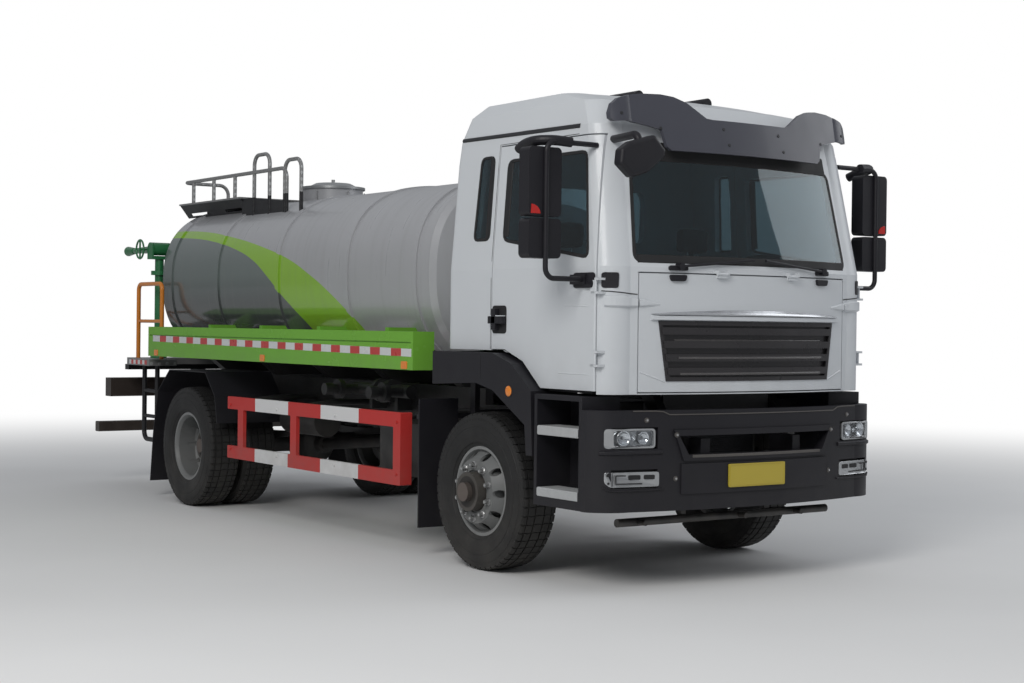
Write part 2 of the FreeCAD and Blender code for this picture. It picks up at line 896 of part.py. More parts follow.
def leaf_spring(axle_y, pad_z):
    """A bowed leaf pack with its two eyes, seated on the axle at its lowest point."""
    low = pad_z
    ends = low + spring_sag
    lower = Part.Arc(Vector(spring_x, axle_y - spring_half_span, ends), Vector(spring_x, axle_y, low),
                     Vector(spring_x, axle_y + spring_half_span, ends))
    tip = spring_thickness * spring_tip_share
    upper = Part.Arc(Vector(spring_x, axle_y + spring_half_span, ends + tip),
                     Vector(spring_x, axle_y, low + spring_thickness),
                     Vector(spring_x, axle_y - spring_half_span, ends + tip))
    edges = [lower.toShape(), Part.makeLine(lower.EndPoint, upper.StartPoint), upper.toShape(),
             Part.makeLine(upper.EndPoint, lower.StartPoint)]
    leaf = Part.Face(Part.Wire(edges)).extrude(Vector(spring_width, 0, 0))
    leaf.translate(Vector(-spring_width / 2, 0, 0))
    parts = [leaf]
    for sign in (-1, 1):
        eye_y = axle_y + sign * spring_half_span
        eye = Part.makeCylinder(spring_eye_radius, spring_width,
                                Vector(spring_x - spring_width / 2, eye_y, ends + tip / 2), axis_x)
        hanger = block(spring_x - hanger_width / 2 - spring_width / 2, spring_x + spring_width / 2,
                       eye_y - hanger_width, eye_y + hanger_width, ends + tip / 2,
                       rail_bottom_z + hanger_width * 2)
        parts += [eye, hanger]
    trim = block(rail_outer_x - rail_flange - overrun, rail_outer_x, axle_y - spring_half_span * 2,
                 axle_y + spring_half_span * 2, rail_bottom_z, rail_top_z)
    return fuse(parts).cut(trim)


def front_axle():
    """Dropped beam between the kingpin eyes, with its two leaf springs."""
    eye = Part.makeCylinder(axle_eye_radius, axle_eye_height,
                            Vector(kingpin_x, 0, tyre_radius - axle_eye_height / 2), axis_z)
    bore = Part.makeCylinder(kingpin_radius + fit_gap, axle_eye_height * 2,
                             Vector(kingpin_x, 0, tyre_radius - axle_eye_height), axis_z)
    half = axle_beam_height / 2
    knee_x = spring_x + spring_width
    neck_x = kingpin_x - axle_eye_radius * axle_neck_share
    top = tyre_radius + half - axle_beam_drop
    beam = plate_y([
        (0, top - axle_beam_height), (knee_x, top - axle_beam_height), (neck_x, tyre_radius - half),
        (kingpin_x, tyre_radius - half), (kingpin_x, tyre_radius + half), (neck_x, tyre_radius + half),
        (knee_x, top), (0, top),
    ], -axle_beam_width / 2, axle_beam_width / 2)
    halves = fuse([beam, mirrored(beam), eye, mirrored(eye)])
    halves = halves.cut(group([bore, mirrored(bore)]))
    spring = leaf_spring(0.0, top)
    return fuse([halves, spring, mirrored(spring)])


def rear_axle():
    """Banjo housing, its tubes and its two leaf springs."""
    tube = Part.makeCylinder(rear_housing_radius, rear_axle_end_x * 2,
                             Vector(-rear_axle_end_x, wheelbase, tyre_radius), axis_x)
    banjo = Part.makeSphere(rear_diff_radius, Vector(0, wheelbase, tyre_radius))
    keep = block(-rear_diff_radius, rear_diff_radius, wheelbase - rear_diff_half * rear_diff_front_share,
                 wheelbase + rear_diff_half, 0, tyre_radius + rear_diff_radius)
    nose = Part.makeCylinder(shaft_radius * rear_nose_share, rear_diff_radius, Vector(0, wheelbase - rear_diff_radius * rear_diff_front_share,
                                                                        tyre_radius), axis_y)
    spring = leaf_spring(wheelbase, tyre_radius + rear_housing_radius - spring_eye_radius / 2)
    return fuse([tube, banjo.common(keep), nose, spring, mirrored(spring), propshaft()])


def axles():
    save("front_axle", front_axle())
    save("rear_axle", rear_axle())
    for name, side in sides:
        save("knuckle_" + name, on_side(knuckle(), side))
    save("tie_rod", tie_rod())


# Frame and what hangs on it

def channel(y0, y1, low, high, outer_x):
    """The left rail of a ladder frame: a channel open towards the middle."""
    inner = outer_x - rail_flange
    return plate_y([
        (outer_x, low), (outer_x, high), (inner, high), (inner, high - rail_web),
        (outer_x - rail_web, high - rail_web), (outer_x - rail_web, low + rail_web),
        (inner, low + rail_web), (inner, low),
    ], y0, y1)


def cross_member(y):
    """A box-shaped cross member between the webs of the two rails."""
    half = rail_outer_x - rail_web
    middle = (rail_bottom_z + rail_top_z) / 2
    low = middle - cross_height / 2
    outer = block(-half, half, y, y + cross_width, low, low + cross_height)
    inner = block(-half, half, y + cross_plate, y + cross_width + overrun, low + cross_plate,
                  low + cross_height - cross_plate)
    return outer.cut(inner)


def frame():
    length = rail_rear_y - rail_front_y
    save("frame_rails", both(channel(rail_front_y, rail_rear_y, rail_bottom_z, rail_top_z, rail_outer_x)))
    members = [cross_member(rail_front_y + share * length) for share in cross_shares[2:-1]]
    front_y = rail_front_y + cross_shares[0] * length
    rear_y = rail_front_y + cross_shares[-1] * length
    save("cross_members", group([cross_member(front_y)] + members + [cross_member(rear_y - cross_width),
                                                                     cab_pivots()]))


def engine():
    """Engine and gearbox as one block that hangs between the rails under the cab."""
    inner = rail_outer_x - rail_web
    body = block(-engine_half_width, engine_half_width, engine_front_y, engine_rear_y,
                 engine_bottom_z, engine_top_z)
    slots = block(rail_outer_x - rail_flange - moving_gap, rail_outer_x, engine_front_y, engine_rear_y,
                  rail_bottom_z - moving_gap, rail_top_z + moving_gap)
    body = body.cut(both(slots))
    sump = block(-engine_half_width, engine_half_width, -axle_beam_width - moving_gap,
                 axle_beam_width + moving_gap, 0, tyre_radius + axle_beam_height)
    body = body.cut(sump)
    gearbox = block(-gearbox_half_width, gearbox_half_width, engine_rear_y, engine_rear_y + gearbox_length,
                    engine_bottom_z, gearbox_top_z)
    mounts = []
    for y in (engine_front_y + cross_width, engine_rear_y - cross_width * 2):
        mounts.append(block(-inner, inner, y, y + cross_width, rail_bottom_z + rail_web,
                            rail_bottom_z + rail_web + cross_plate * 3))
    save("engine", fuse([body, gearbox] + mounts))


def propshaft():
    """Shaft from the gearbox to the rear axle's nose, with a yoke at each end."""
    start = Vector(0, engine_rear_y + gearbox_length, (engine_bottom_z + gearbox_top_z) / 2)
    end = Vector(0, wheelbase - rear_diff_radius * rear_diff_front_share, tyre_radius)
    bar = rod(start, end, shaft_radius)
    square = block(-overrun * 4, overrun * 4, start.y - overrun * 2, start.y, 0, rail_top_z)
    return bar.cut(square)


def fuel_tank():
    """Rounded tank on the left side of the frame, with its straps against the rail."""
    outer = fuel_tank_inner_x + fuel_tank_width
    shape = block(fuel_tank_inner_x, outer, fuel_tank_front_y, fuel_tank_rear_y,
                  fuel_tank_top_z - fuel_tank_height, fuel_tank_top_z)
    shape = round_edges(shape, axis_y, fuel_tank_round)
    arms = []
    for share in fuel_tank_arm_shares:
        y = fuel_tank_front_y + share * (fuel_tank_rear_y - fuel_tank_front_y)
        arms.append(block(rail_outer_x, fuel_tank_inner_x + fuel_tank_round * 2, y, y + cross_width,
                          rail_bottom_z + rail_web, rail_top_z - fuel_tank_round))
    save("fuel_tank", fuse([shape] + arms))


def battery_box():
    """Box on the right side of the frame behind the guard's front end."""
    shape = block(-battery_outer_x, -battery_inner_x, battery_front_y, battery_rear_y,
                  battery_bottom_z, battery_top_z)
    arm = block(-battery_inner_x, -rail_outer_x, battery_front_y + cross_width, battery_rear_y - cross_width,
                rail_bottom_z + rail_web, battery_top_z - rail_web)
    save("battery_box", fuse([shape, arm]))


def air_tanks():
    """One pressure bottle outside each rail, held by two straps."""
    bottle = Part.makeCylinder(air_tank_radius, air_tank_length, Vector(air_tank_x, air_tank_y, air_tank_z),
                               axis_y)
    straps = []
    for share in air_tank_strap_shares:
        y = air_tank_y + share * air_tank_length
        straps.append(block(rail_outer_x, air_tank_x, y, y + hanger_width, air_tank_z + rail_web * 2,
                            air_tank_z + air_tank_radius))
    save("air_tanks", both(fuse([bottle] + straps)))


# Bumper, lamps and spray bar

def bumper_outline(inset):
    """Plan outline of the bumper's face: a bowed front, raked corners and straight sides."""
    half = bumper_half_width - inset
    nose = Vector(0, bumper_front_y + inset, 0)
    corner = Vector(bumper_corner_x - inset / 3, bumper_corner_y + inset, 0)
    side = Vector(half, bumper_side_y + inset / 3, 0)
    knee = Vector((corner.x + side.x * 2) / 3, (corner.y * 2 + side.y) / 3, 0)
    rear = Vector(half, bumper_side_rear_y, 0)

    def flip(point):
        return Vector(-point.x, point.y, point.z)

    edges = [
        Part.makeLine(flip(rear), flip(side)),
        Part.Arc(flip(side), flip(knee), flip(corner)).toShape(),
        Part.Arc(flip(corner), nose, corner).toShape(),
        Part.Arc(corner, knee, side).toShape(),
        Part.makeLine(side, rear),
        Part.makeLine(rear, flip(rear)),
    ]
    return Part.Face(Part.Wire(edges))


def bumper_prism(inset, low, high):
    face = bumper_outline(inset)
    face.translate(Vector(0, 0, low))
    return face.extrude(Vector(0, 0, high - low))


def bumper_band(outer, inner, low, high):
    """The stretch of the bumper's face between two depths below its surface."""
    return bumper_prism(outer, low, high).cut(bumper_prism(inner, low - overrun, high + overrun))


def front_bumper():
    shell = bumper_band(0.0, bumper_wall, bumper_bottom_z, bumper_top_z)
    intake = plate_y([
        (-intake_half_low, intake_bottom_z), (intake_half_low, intake_bottom_z),
        (intake_half_top, intake_top_z), (-intake_half_top, intake_top_z),
    ], bumper_front_y - overrun, bumper_side_rear_y)
    lip_outer = plate_y([
        (-intake_half_low - intake_lip_width, intake_bottom_z - intake_lip_width),
        (intake_half_low + intake_lip_width, intake_bottom_z - intake_lip_width),
        (intake_half_top + intake_lip_width, intake_top_z + intake_lip_width),
        (-intake_half_top - intake_lip_width, intake_top_z + intake_lip_width),
    ], bumper_front_y - overrun, bumper_side_y)
    lip = bumper_band(-intake_lip, intake_lip, intake_bottom_z - overrun, intake_top_z + overrun).common(lip_outer)
    panel = bumper_band(-plate_panel_proud, plate_panel_proud, plate_panel_low_z, plate_panel_top_z).common(
        block(-plate_panel_half, plate_panel_half, bumper_front_y - overrun, bumper_side_y, 0, cab_bottom_z))
    shell = fuse([shell] + lip.Solids + panel.Solids)
    cut = [intake]
    for low, high in ((lamp_bottom_z, lamp_top_z), (low_lamp_bottom_z, low_lamp_top_z)):
        pocket = bumper_band(-overrun, lamp_depth, low, high)
        window = block(lamp_inner_x, lamp_outer_x, bumper_front_y - overrun, bumper_side_rear_y, low, high)
        cut.append(pocket.common(both(window)))
    arm_top = rail_bottom_z + bumper_arm_height
    arm_face = bumper_prism(bumper_wall, rail_bottom_z, arm_top)
    reach = block(rail_outer_x - bumper_arm_width, rail_outer_x, bumper_front_y, rail_front_y, 0, cab_bottom_z)
    arms = arm_face.common(both(reach))
    return_bar = bumper_band(bumper_wall, bumper_wall * 2, bumper_bottom_z, bumper_bottom_z + bumper_wall)
    side_wall = block(-step_inner_x, step_inner_x, bumper_front_y - overrun, bumper_side_y, 0, cab_bottom_z)
    shell = shell.cut(group(cut))
    save("front_bumper", fuse([shell, return_bar.common(side_wall)] + arms.Solids))


def front_lamps():
    """Upper and lower lamp on each side, set flush into the bumper's pockets."""
    lamps = []
    for low, high in ((lamp_bottom_z, lamp_top_z), (low_lamp_bottom_z, low_lamp_top_z)):
        band = bumper_band(fit_gap * 3, lamp_depth - fit_gap, low + fit_gap, high - fit_gap)
        window = block(lamp_inner_x + fit_gap, lamp_outer_x - fit_gap, bumper_front_y - overrun,
                       bumper_side_rear_y, low, high)
        lamps.append(band.common(window))
    save("front_lamps", group(lamps + [mirrored(lamp) for lamp in lamps]))


def spray_bar():
    """Water bar under the bumper, with three nozzles and two hangers."""
    bar = rod(Vector(-spray_bar_half, spray_bar_y, spray_bar_z), Vector(spray_bar_half, spray_bar_y, spray_bar_z),
              spray_bar_radius)
    parts = [bar]
    for share in spray_nozzle_shares:
        foot = Vector(share * spray_bar_half, spray_bar_y, spray_bar_z)
        parts.append(rod(foot, foot - axis_y * (spray_bar_radius + spray_nozzle_length), spray_nozzle_radius))
    for share in spray_hanger_shares:
        x = share * spray_bar_half
        parts.append(block(x - spray_hanger_width / 2, x + spray_hanger_width / 2, spray_bar_y,
                           spray_bar_y + spray_bar_radius, spray_bar_z, rail_bottom_z))
        parts.append(block(min(x, x * spray_foot_share), max(x, x * spray_foot_share), spray_bar_y, rail_front_y + cross_width,
                           rail_bottom_z - cross_plate, rail_bottom_z))
    save("spray_bar", fuse(parts))


# Steps, fenders and mudflaps

def steps():
    """Moulded step well on each side under the door, with two treads across its recess."""
    housing = block(step_inner_x, step_outer_x, step_front_y, step_rear_y, step_low_z, step_high_z)
    recess = block(step_inner_x + step_wall, step_outer_x + overrun, step_front_y + step_wall,
                   step_rear_y - step_wall, lower_step_z - step_plate, step_high_z - step_wall)
    shell = housing.cut(recess)
    treads = [block(step_inner_x, step_outer_x, step_front_y + step_wall / 2, step_rear_y - step_wall / 2,
                    top - step_plate, top) for top in (upper_step_z, lower_step_z)]
    middle_y = (step_front_y + step_rear_y) / 2
    arm = block(rail_outer_x, step_inner_x, middle_y + step_wall * 2, middle_y + step_wall * 2 + step_arm_width,
                rail_top_z - step_plate * 3, rail_top_z - step_plate)
    save("steps", both(fuse([shell] + treads + [arm])))


def front_fenders():
    """Moulded arch over each front wheel, open underneath and towards the wheel."""
    outer = [
        (fender_rear_y, fender_rear_z), (fender_rear_y, fender_top_z), (fender_crown_y, fender_top_z),
        (fender_shoulder_y, fender_shoulder_z), (fender_front_y + fender_shell, cab_bottom_z),
        (fender_front_y, fender_front_z),
    ]
    inner = [
        (fender_arch_front_y, fender_front_z), (fender_arch_front_y + fender_shell, upper_step_z),
        (fender_arch_shoulder_y, fender_arch_shoulder_z), (fender_crown_y, fender_arch_z - fender_shell * 2),
        (0, fender_arch_z), (fender_rear_y - fender_shell, fender_rear_z),
    ]
    face = plate_x(outer + inner, fender_outer_x - fender_shell, fender_outer_x)
    reach = fender_shell / 2
    hood = plate_x([(y, z) for y, z in outer] + [(y - reach, z) for y, z in (
        (fender_front_y + fender_hood_gauge, fender_front_z),
        (fender_front_y + fender_hood_gauge + fender_shell, cab_bottom_z - fender_shell / 2),
        (fender_shoulder_y + fender_shell / 2, fender_shoulder_z - fender_shell),
        (fender_crown_y + fender_shell / 2, fender_top_z - fender_shell),
        (fender_rear_y - fender_shell / 2, fender_top_z - fender_shell),
        (fender_rear_y - fender_shell / 2, fender_rear_z),
    )], fender_inner_x, fender_outer_x)
    arm = block(rail_outer_x, fender_inner_x, fender_rear_y - fender_shell * 4, fender_rear_y - fender_shell,
                rail_top_z - fender_shell * 3, rail_top_z)
    leg = block(fender_inner_x, fender_inner_x + fender_shell * 2, fender_rear_y - fender_shell * 4,
                fender_rear_y - fender_shell, rail_top_z - fender_shell * 3, fender_top_z - fender_shell / 2)
    save("front_fenders", group([both(fuse([face, hood, arm, leg])), mudflaps()]))


def mudflaps():
    """Hanging sheet behind each front wheel."""
    sheet = block(front_tyre_x - front_flap_half, front_tyre_x + front_flap_half, front_flap_y,
                  front_flap_y + flap_plate, front_flap_bottom_z, front_flap_top_z)
    arm = block(rail_outer_x, front_tyre_x + front_flap_half, front_flap_y + flap_plate,
                front_flap_y + flap_plate * 3, rail_top_z - flap_arm_height * 2, rail_top_z - flap_arm_height)
    return both(fuse([sheet, arm]))


# Cab

cab_levels = (
    (cab_bottom_z, cab_front_y, cab_side_x, cab_rear_y),
    (cab_belt_z, cab_front_y, cab_side_x, cab_rear_y),
    (cab_glass_top_z, cab_glass_front_y, cab_glass_side_x, cab_glass_rear_y),
    (cab_shoulder_z, cab_shoulder_front_y, cab_shoulder_side_x, cab_shoulder_rear_y),
    (cab_brow_z, cab_brow_front_y, cab_brow_side_x, cab_brow_rear_y),
    (cab_top_z, cab_top_front_y, cab_top_side_x, cab_top_rear_y),
)


def cab_section(level, inset):
    """Plan outline of the cab at one height: bowed nose, round corners, straight sides."""
    z, nose_y, side_x, rear_y = level
    share = side_x / cab_side_x
    blend = 1 + cab_blend_share
    half = side_x - inset
    nose = Vector(0, nose_y + inset, z)
    corner = Vector(cab_corner_share * side_x - inset / 3, nose_y + cab_front_fall * share + inset, z)
    side = Vector(half, nose_y + cab_front_fall * share + cab_corner_length * share + inset / 3, z)
    knee = Vector((corner.x + side.x * cab_blend_share) / blend, (corner.y * cab_blend_share + side.y) / blend, z)
    rear = Vector(half, rear_y - cab_rear_round, z)
    back = Vector(half - cab_rear_round + inset / 2, rear_y - inset, z)
    bend = Vector((rear.x * cab_blend_share + back.x) / blend, (rear.y + back.y * cab_blend_share) / blend, z)

    def flip(point):
        return Vector(-point.x, point.y, point.z)

    return Part.Wire([
        Part.makeLine(flip(rear), flip(side)),
        Part.Arc(flip(side), flip(knee), flip(corner)).toShape(),
        Part.Arc(flip(corner), nose, corner).toShape(),
        Part.Arc(corner, knee, side).toShape(),
        Part.makeLine(side, rear),
        Part.Arc(rear, bend, back).toShape(),
        Part.makeLine(back, flip(back)),
        Part.Arc(flip(back), flip(bend), flip(rear)).toShape(),
    ])


def cab_solid(inset, roof_drop=0.0, floor_rise=0.0):
    """The cab's outer form, drawn in by one inset on every side."""
    levels = list(cab_levels)
    first = levels[0]
    last = levels[-1]
    levels[0] = (first[0] + floor_rise,) + first[1:]
    levels[-1] = (last[0] - roof_drop,) + last[1:]
    return Part.makeLoft([cab_section(level, inset) for level in levels], True, True)


def cab_band(outer, inner):
    """A skin of the cab's wall between two depths below its surface."""
    return cab_solid(outer, outer).cut(cab_solid(inner, inner, -overrun))


def windshield_prism(margin):
    half_low = windshield_half_low - margin
    half_top = windshield_half_top - margin
    prism = plate_y([
        (-half_low, windshield_low_z + margin), (half_low, windshield_low_z + margin),
        (half_top, windshield_top_z - margin), (-half_top, windshield_top_z - margin),
    ], cab_front_y - overrun, cab_front_y + cab_cut_depth)
    return round_edges(prism, axis_y, window_round - margin)


def quarter_prism(margin):
    prism = plate_x([
        (quarter_front_low_y + margin, quarter_low_z + margin), (quarter_rear_low_y - margin, quarter_low_z + margin),
        (quarter_rear_top_y - margin, quarter_top_z - margin), (quarter_front_top_y + margin, quarter_top_z - margin),
    ], cab_side_x - door_cut_depth, cab_side_x + overrun)
    return round_edges(prism, axis_x, window_round / 2)


def rear_window_prism(margin):
    prism = block(-rear_window_half + margin, rear_window_half - margin, cab_rear_y - door_cut_depth,
                  cab_rear_y + overrun, rear_window_low_z + margin, rear_window_top_z - margin)
    return round_edges(prism, axis_y, window_round)


def door_prism(margin):
    """The door's outline in the side view, pushed through the left wall."""
    return plate_x([
        (door_front_y + margin, door_bottom_z + margin), (door_bottom_rear_y - margin, door_bottom_z + margin),
        (door_shoulder_y - margin, door_shoulder_z + margin), (door_crown_y - margin, door_low_rear_z + margin),
        (door_rear_y - margin, door_low_rear_z + margin), (door_rear_y - margin, door_top_z - margin),
        (door_front_top_y + margin, door_top_z - margin), (door_front_y + margin, cab_belt_z),
    ], cab_side_x - door_cut_depth, cab_side_x + overrun)


def door_window_prism(margin):
    prism = plate_x([
        (door_window_front_low_y + margin, door_window_low_front_z + margin),
        (door_window_rear_y - margin, door_window_low_rear_z + margin),
        (door_window_rear_y - margin, door_window_top_z - margin),
        (door_window_front_top_y + margin, door_window_top_z - margin),
    ], cab_side_x - door_cut_depth, cab_side_x + overrun)
    return round_edges(prism, axis_x, window_round / 2)


def flap_prism(margin, y_reach):
    return plate_y([
        (-flap_half + margin, flap_bottom_z + margin), (flap_half - margin, flap_bottom_z + margin),
        (flap_half - margin, flap_top_z - margin), (-flap_half + margin, flap_top_z - margin),
    ], cab_front_y - overrun, cab_front_y + y_reach)


def grille_prism(margin):
    return plate_y([
        (-grille_half_low + margin, grille_low_z + margin), (grille_half_low - margin, grille_low_z + margin),
        (grille_half_top - margin, grille_top_z - margin), (-grille_half_top + margin, grille_top_z - margin),
    ], cab_front_y - overrun, cab_front_y + cab_front_fall * 2)


def fender_profile(margin):
    """Outline of the front fender in the side view, grown by a margin, open below."""
    low = cab_bottom_z - overrun
    return [
        (fender_rear_y + margin, low), (fender_rear_y + margin, fender_top_z + margin),
        (fender_crown_y - margin / 2, fender_top_z + margin),
        (fender_shoulder_y - margin, fender_shoulder_z + margin),
        (fender_front_y + fender_shell - margin, cab_bottom_z), (fender_front_y + fender_shell - margin, low),
    ]


def wheel_space(margin, inner_x):
    return plate_x(fender_profile(margin), inner_x, cab_side_x + overrun)


def cab_shell():
    """Side walls, pillars, roof and front wall, with its doorways and windows cut."""
    wall = cab_band(0.0, cab_wall)
    doorway = door_prism(0.0)
    pocket = cab_band(-overrun, flap_thickness + moving_gap).common(flap_prism(0.0, flap_reach))
    sill = block(cab_side_x - door_cut_depth, cab_side_x + overrun, door_front_y, door_bottom_rear_y,
                 cab_bottom_z - overrun, door_bottom_z + overrun)
    left = [doorway, sill, wheel_space(fender_margin, fender_inner_x - moving_gap), quarter_prism(0.0)]
    cuts = left + [mirrored(shape) for shape in left] + [windshield_prism(0.0), rear_window_prism(0.0), pocket]
    for shape in cuts:
        wall = wall.cut(shape)
    ears = [door_hinge_fixed(z) for z in door_hinge_zs]
    ears.append(visor_fairing())
    ears += [mirrored(ear) for ear in ears] + [flap_hinge_fixed(x) for x in flap_hinge_xs]
    save("cab_shell", fuse([wall] + ears))


def cab_leg():
    """Left arm that reaches down and forward from the floor to the tilt pivot."""
    radius = cab_pivot_radius * 2
    outline = [
        (cab_pivot_y - radius, cab_pivot_z), (cab_pivot_y, cab_pivot_z - radius), (cab_pivot_y + radius, cab_pivot_z),
        (cab_leg_rear_y, cab_bottom_z + floor_thickness), (cab_leg_front_y, cab_bottom_z + floor_thickness),
    ]
    arm = plate_x(outline, cab_pivot_x, cab_pivot_x + cab_arm_width)
    eye = Part.makeCylinder(radius, cab_arm_width, Vector(cab_pivot_x, cab_pivot_y, cab_pivot_z), axis_x)
    bore = Part.makeCylinder(cab_pivot_radius + fit_gap, cab_arm_width * 2,
                             Vector(cab_pivot_x - overrun, cab_pivot_y, cab_pivot_z), axis_x)
    return fuse([arm, eye]).cut(bore)


def cab_floor():
    """Floor inside the walls with its wheel covers and the two arms to the tilt pivot."""
    plate = cab_solid(cab_wall).common(block(-cab_side_x, cab_side_x, cab_front_y, cab_rear_y, cab_bottom_z,
                                             cab_bottom_z + floor_thickness))
    inner_x = fender_inner_x - moving_gap
    cover = wheel_space(fender_margin + cover_plate, inner_x - cover_plate).common(cab_solid(cab_wall))
    space = wheel_space(fender_margin, inner_x)
    corner = block(cab_side_x - floor_corner_depth, cab_side_x, door_front_y - moving_gap,
                   door_front_y + floor_corner_length, cab_bottom_z - overrun, cab_bottom_z + floor_thickness * 2)
    body = fuse([plate, cover, mirrored(cover)]).cut(both(space)).cut(both(corner))
    save("cab_floor", fuse([body, cab_leg(), mirrored(cab_leg())]))


def cab_pivots():
    """Brackets on the rail ends with the pins on which the cab tilts."""
    start = rail_outer_x
    pin = Part.makeCylinder(cab_pivot_radius, cab_pivot_x + cab_arm_width - start + moving_gap,
                            Vector(start, cab_pivot_y, cab_pivot_z), axis_x)
    cheek = block(start, cab_pivot_x - moving_gap, cab_pivot_y - cab_cheek_half,
                  rail_front_y + cab_pivot_width * 3, cab_pivot_z - cab_cheek_half,
                  cab_pivot_z + cab_pivot_radius * 3)
    return both(fuse([cheek, pin]))


def cab_glass():
    skin = cab_band(glass_fit, glass_thickness + glass_fit)
    save("windshield", skin.common(windshield_prism(glass_fit)))
    quarter = skin.common(quarter_prism(glass_fit))
    save("cab_windows", group([quarter, mirrored(quarter), skin.common(rear_window_prism(glass_fit))]))


def visor_solid(inset):
    """The bowed space ahead of the windshield's top, behind the visor's face by one inset."""
    low = (visor_low_z - overrun, visor_low_front_y, visor_side_x, cab_rear_y)
    high = (visor_top_z + overrun, visor_top_front_y, visor_side_x, cab_rear_y)
    return Part.makeLoft([cab_section(low, inset), cab_section(high, inset)], True, True)


def visor_outline(shares):
    height = visor_top_z - visor_low_z
    return [(x * visor_half, visor_low_z + z * height) for x, z in shares]


def sun_visor():
    """Bowed visor over the windshield with a dipped top edge and raised ends, on two arms."""
    half = visor_outline(visor_outline_shares)
    outline = half + [(-x, z) for x, z in reversed(half[1:-1])]
    prism = plate_y(outline, visor_low_front_y - overrun, cab_top_front_y)
    inner = visor_solid(visor_plate)
    shell = visor_solid(0.0).cut(inner).common(prism)
    arms = []
    for share in visor_arm_shares:
        x = share * visor_half
        arms.append(block(x - visor_arm_width / 2, x + visor_arm_width / 2, visor_low_front_y, cab_top_front_y,
                          visor_arm_low_z, visor_arm_top_z))
    arms = group(arms).common(inner).cut(cab_solid(0.0))
    save("sun_visor", fuse([shell] + arms.Solids))


def visor_fairing():
    """Left closing piece between the cab's corner and the visor's end."""
    prism = plate_y(visor_outline(fairing_outline_shares), visor_low_front_y - overrun, cab_glass_rear_y)
    skin = visor_solid(visor_plate + fit_gap).cut(visor_solid(cab_front_fall * 2))
    return skin.common(prism).cut(cab_solid(cab_wall / 2))


def wipers():
    """Two wiper arms parked along the windshield's lower edge."""
    parts = []
    for sign in (-1, 1):
        x = sign * wiper_x
        foot = Vector(x, cab_front_y + cab_front_fall, wiper_z)
        shaft = rod(foot, foot - axis_y * cab_front_fall * wiper_shaft_share, wiper_boss_radius)
        tip_x = x - wiper_reach * sign if sign > 0 else x + wiper_reach
        start = foot - axis_y * cab_front_fall * wiper_knee_share
        tip = Vector(tip_x, cab_front_y - wiper_boss_radius, wiper_z + wiper_rise)
        arm = rod(start, tip, wiper_radius)
        parts.append(fuse([shaft, arm]).cut(cab_solid(0.0)))
    return parts


def roof_horns():
    """Two roof horns on feet."""
    parts = []
    for sign in (-1, 1):
        start = Vector(sign * horn_x, horn_y, cab_top_z + horn_height)
        body = Part.makeCylinder(horn_radius, horn_length, start, axis_y)
        foot = block(sign * horn_x - horn_radius / 2, sign * horn_x + horn_radius / 2, horn_y + horn_radius,
                     horn_y + horn_length - horn_radius, cab_top_z, cab_top_z + horn_height)
        parts.append(fuse([body, foot]))
    return parts


def front_mirror():
    """Close-view mirror hung ahead of the right front corner of the cab."""
    half = front_mirror_half
    outline = [(-front_mirror_x + x * half, front_mirror_z + z * half) for x, z in front_mirror_outline_shares]
    head = plate_y(outline, front_mirror_y - front_mirror_half_depth, front_mirror_y + front_mirror_half_depth)
    head = head.makeFillet(front_mirror_round, head.Edges)
    foot = Vector(-cab_side_x + front_mirror_foot_inset, cab_shoulder_front_y + cab_front_fall, front_mirror_foot_z)
    knee = Vector(-cab_side_x + front_mirror_knee_inset, front_mirror_y, front_mirror_foot_z)
    inside = Vector(-front_mirror_x, front_mirror_y, front_mirror_z)
    arm = bent_tube([foot, knee, inside], front_mirror_arm_radius, front_mirror_arm_radius * 2)
    return fuse([head, arm]).cut(cab_solid(0.0))


def cab_fittings():
    save("cab_fittings", group(wipers() + roof_horns() + [front_mirror()]))


# Hinges

def door_hinge_axis(z):
    return Vector(door_hinge_x, door_hinge_y, z)


def door_hinge_moving(z):
    """Barrel of a left door hinge with the lug that joins it to the door's skin."""
    foot = door_hinge_axis(z) - axis_z * hinge_half
    barrel = Part.makeCylinder(hinge_radius, hinge_half * 2, foot, axis_z)
    lug = block(cab_side_x - hinge_play * 4, door_hinge_x + hinge_radius / 2, door_hinge_y,
                door_front_y + moving_gap + hinge_half, z - hinge_half, z + hinge_half)
    bore = Part.makeCylinder(hinge_pin_radius + fit_gap, hinge_half * 4, foot - axis_z * hinge_half, axis_z)
    return barrel.fuse(lug).cut(bore)


def door_hinge_fixed(z):
    """Two ears of a left door hinge on the cab's corner, and the pin between them."""
    parts = []
    for low in (z - hinge_half - hinge_play - hinge_ear, z + hinge_half + hinge_play):
        parts.append(Part.makeCylinder(hinge_radius, hinge_ear, Vector(door_hinge_x, door_hinge_y, low), axis_z))
        parts.append(block(door_hinge_x - hinge_half * 2, door_hinge_x + hinge_radius, door_hinge_y - hinge_half,
                           door_hinge_y, low, low + hinge_ear))
    pin_half = hinge_half + hinge_play + hinge_ear
    parts.append(Part.makeCylinder(hinge_pin_radius, pin_half * 2, door_hinge_axis(z) - axis_z * pin_half, axis_z))
    return fuse(parts)


def flap_hinge_axis(x):
    return Vector(x, cab_front_y - flap_hinge_inset, flap_top_z - moving_gap / 4)


def flap_hinge_moving(x):
    """Barrel of the front flap's hinge with the lug behind it on the panel."""
    axis = flap_hinge_axis(x)
    barrel = Part.makeCylinder(hinge_radius, hinge_half * 2, axis - axis_x * hinge_half, axis_x)
    lug = block(x - hinge_half, x + hinge_half, axis.y, axis.y + flap_hinge_inset + flap_lug_depth,
                flap_top_z - moving_gap - hinge_radius * 2, flap_top_z - moving_gap)
    bore = Part.makeCylinder(hinge_pin_radius + fit_gap, hinge_half * 4, axis - axis_x * hinge_half * 2, axis_x)
    return barrel.fuse(lug).cut(bore)


